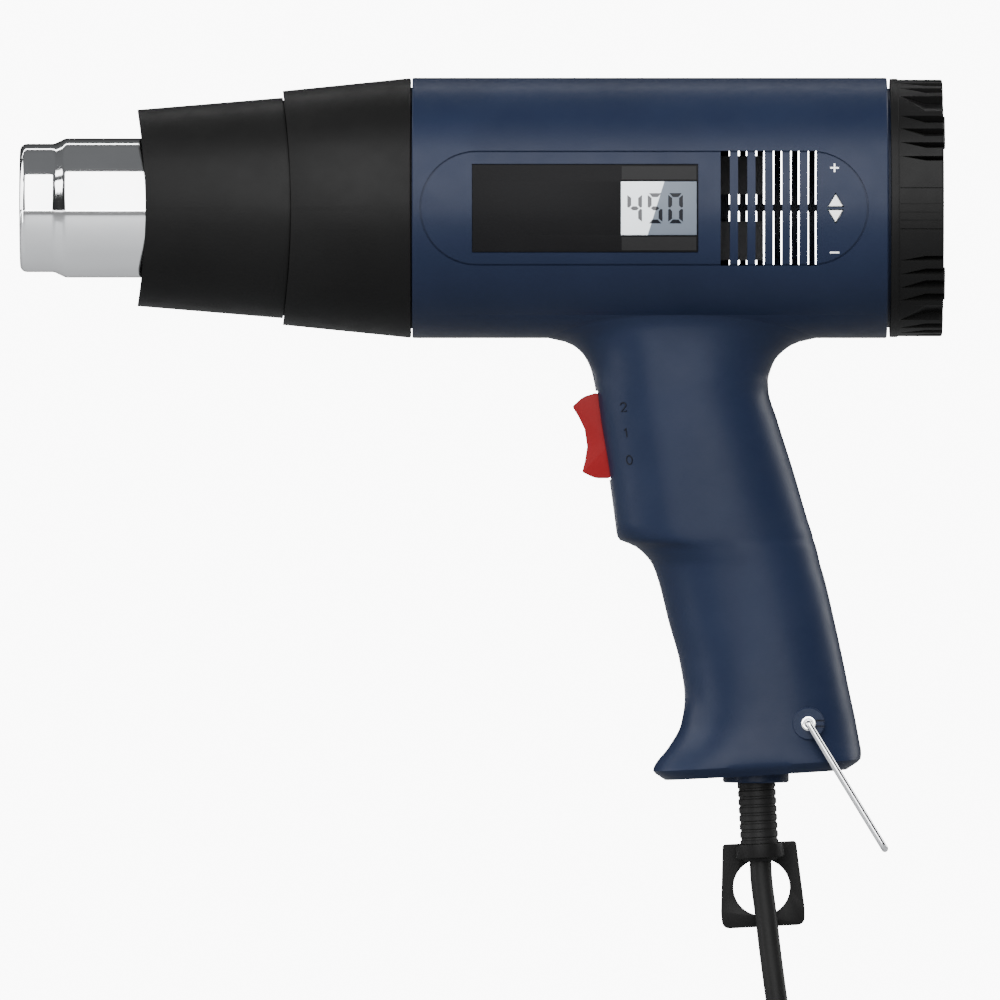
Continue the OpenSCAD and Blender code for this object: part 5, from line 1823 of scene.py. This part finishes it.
@dataclass(frozen=True)
class MicaBoard:
    """Pressed mica with its golden flakes."""

    name: str

    def material(self) -> bpy.types.Material:
        """Makes the material."""
        desk = Desk(self.name)
        flakes = desk.noise(1.3, 3.0)
        cloud = desk.noise(0.12, 2.0)
        return desk.shade(
            Base_Color=desk.blend(flakes * 0.6 + cloud * 0.4, (0.24, 0.19, 0.11),
                                  (0.55, 0.48, 0.34)),
            Roughness=0.62 - flakes.ramp(0.55, 0.7) * 0.3,
            Normal=desk.bump(flakes, 0.05, 0.5), Coat_Weight=0.15)


@dataclass
class Works:
    """Finishes of everything that the housing hides."""

    black: MouldedPlastic
    rubber: MouldedPlastic

    def build(self, shop: Shop) -> None:
        """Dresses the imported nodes."""
        zinc = PolishedSteel("zinc_plate", (0.5, 0.5, 0.5), 0.34, 3.0)
        rows: list[tuple[Any, tuple[str, ...]]] = [
            (zinc, ("tube_screws", "clamp_screws", "motor_can", "thermocouple")),
            (PolishedSteel("ground_steel", (0.56, 0.56, 0.57), 0.2),
             ("rocker_pin", "rotor_shaft")),
            (PolishedSteel("brass", (0.72, 0.52, 0.2), 0.3),
             ("switch_terminals",)),
            (PolishedSteel("copper", (0.72, 0.36, 0.2), 0.3), ("commutator",)),
            (PolishedSteel("sintered_bronze", (0.36, 0.24, 0.12), 0.5), ("motor_bushes",)),
            (PolishedSteel("resistance_wire", (0.24, 0.21, 0.19), 0.48), ("heating_coil",)),
            (PolishedSteel("cast_aluminium", (0.6, 0.61, 0.62), 0.36), ("heat_sink",)),
            (PolishedSteel("filter_mesh", (0.06, 0.06, 0.062), 0.5, 1.4, 0.1),
             ("intake_filter",)),
            (MicaBoard("mica"), ("mica_tube", "element_former")),
            (Laminations("laminations"), ("armature",)),
            (CircuitBoard("circuit_board"), ("display_board", "button_board", "control_board")),
            (MouldedPlastic("ferrite", (0.035, 0.035, 0.038), (0.02, 0.02, 0.022), 0.6),
             ("magnets",)),
            (MouldedPlastic("carbon", (0.02, 0.02, 0.022), (0.012, 0.012, 0.012), 0.5),
             ("brushes",)),
            (MouldedPlastic("nylon", (0.62, 0.61, 0.57), (0.5, 0.49, 0.45), 0.45),
             ("cord_clamp", "display_module")),
            (MouldedPlastic("filled_nylon", (0.02, 0.02, 0.021), (0.014, 0.014, 0.015), 0.5),
             ("fan", "motor_end_cap")),
            (MouldedPlastic("brush_carrier", (0.034, 0.034, 0.036), (0.026, 0.026, 0.028), 0.55),
             ("brush_holders",)),
            (MouldedPlastic("film_capacitor", (0.6, 0.4, 0.05), (0.5, 0.32, 0.04), 0.35),
             ("capacitor",)),
            (MouldedPlastic("wire_sleeve", (0.3, 0.05, 0.04), (0.2, 0.03, 0.03), 0.4),
             ("inner_wires",)),
            (self.black, ("air_funnel", "motor_spider", "triac", "push_switches")),
            (self.rubber, ("damper_ring", "lead_end")),
        ]
        for finish, nodes in rows:
            shop.dress(finish, *nodes)


def main() -> None:
    """Builds the sub-assemblies in order."""
    logging.basicConfig(level=logging.INFO, format="%(message)s")
    shop = Shop(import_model())
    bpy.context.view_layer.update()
    studio = Studio()
    studio.camera()
    rubber = MouldedPlastic("cord_rubber", (0.009, 0.009, 0.009), (0.007, 0.007, 0.007), 0.45)
    strap = MouldedPlastic("tie_strap", (0.012, 0.012, 0.013), (0.008, 0.008, 0.009), 0.8, 1.2, 0.1)
    steel = PolishedSteel("polished_steel", (0.9, 0.91, 0.92), 0.05)
    nickel = PolishedSteel("dull_nickel", (0.4, 0.385, 0.35), 0.34)
    MainsLead(rubber, strap, nickel).build(shop)
    studio.build()
    navy = MouldedPlastic("navy_plastic", (0.0079, 0.0124, 0.0287), (0.0067, 0.0108, 0.0255), 0.38,
                          specular=0.105)
    black = MouldedPlastic("black_plastic", (0.0058, 0.0058, 0.0058), (0.0048, 0.0048, 0.0048),
                           specular=0.07)
    wire = PolishedSteel("bright_wire", roughness=0.14)
    red = MouldedPlastic("red_plastic", (0.15, 0.006, 0.008), (0.125, 0.005, 0.006), 0.38,
                         specular=0.05)
    white = MouldedPlastic("white_print", (0.8, 0.8, 0.8), (0.76, 0.76, 0.76), 0.4)
    # Numbers darker than the navy housing: painted shade, not ink.
    painted_number_shade = MouldedPlastic("number_painted_shade", (0.004, 0.005, 0.009), (0.003, 0.004, 0.007), 0.5)
    # Digit ink: grey under the painted sheen, which is a painted reflection, and nearly black
    # beyond it.
    ink = LiquidCrystal("display_ink", (0.08, 0.08, 0.085), (0.002, 0.003, 0.006))
    housing = Housing(navy)
    skin = housing.build(shop)
    Marks(painted_number_shade).build(shop, skin)
    Shroud(black).build(shop)
    Nozzle(steel).build(shop)
    RearCap(black).build(shop)
    Display(Film("label_film", (0.007, 0.007, 0.0075)), Film("label_strip", (0.017, 0.017, 0.0175)),
            LiquidCrystal("liquid_crystal"), ink, white).build(shop)
    Rocker(red, black).build(shop)
    Stand(wire, steel).build(shop)
    Outlet(rubber, black).build(shop)
    Screws(steel, housing.screws).build(shop)
    Works(black, rubber).build(shop)


if __name__ == "__main__":
    main()
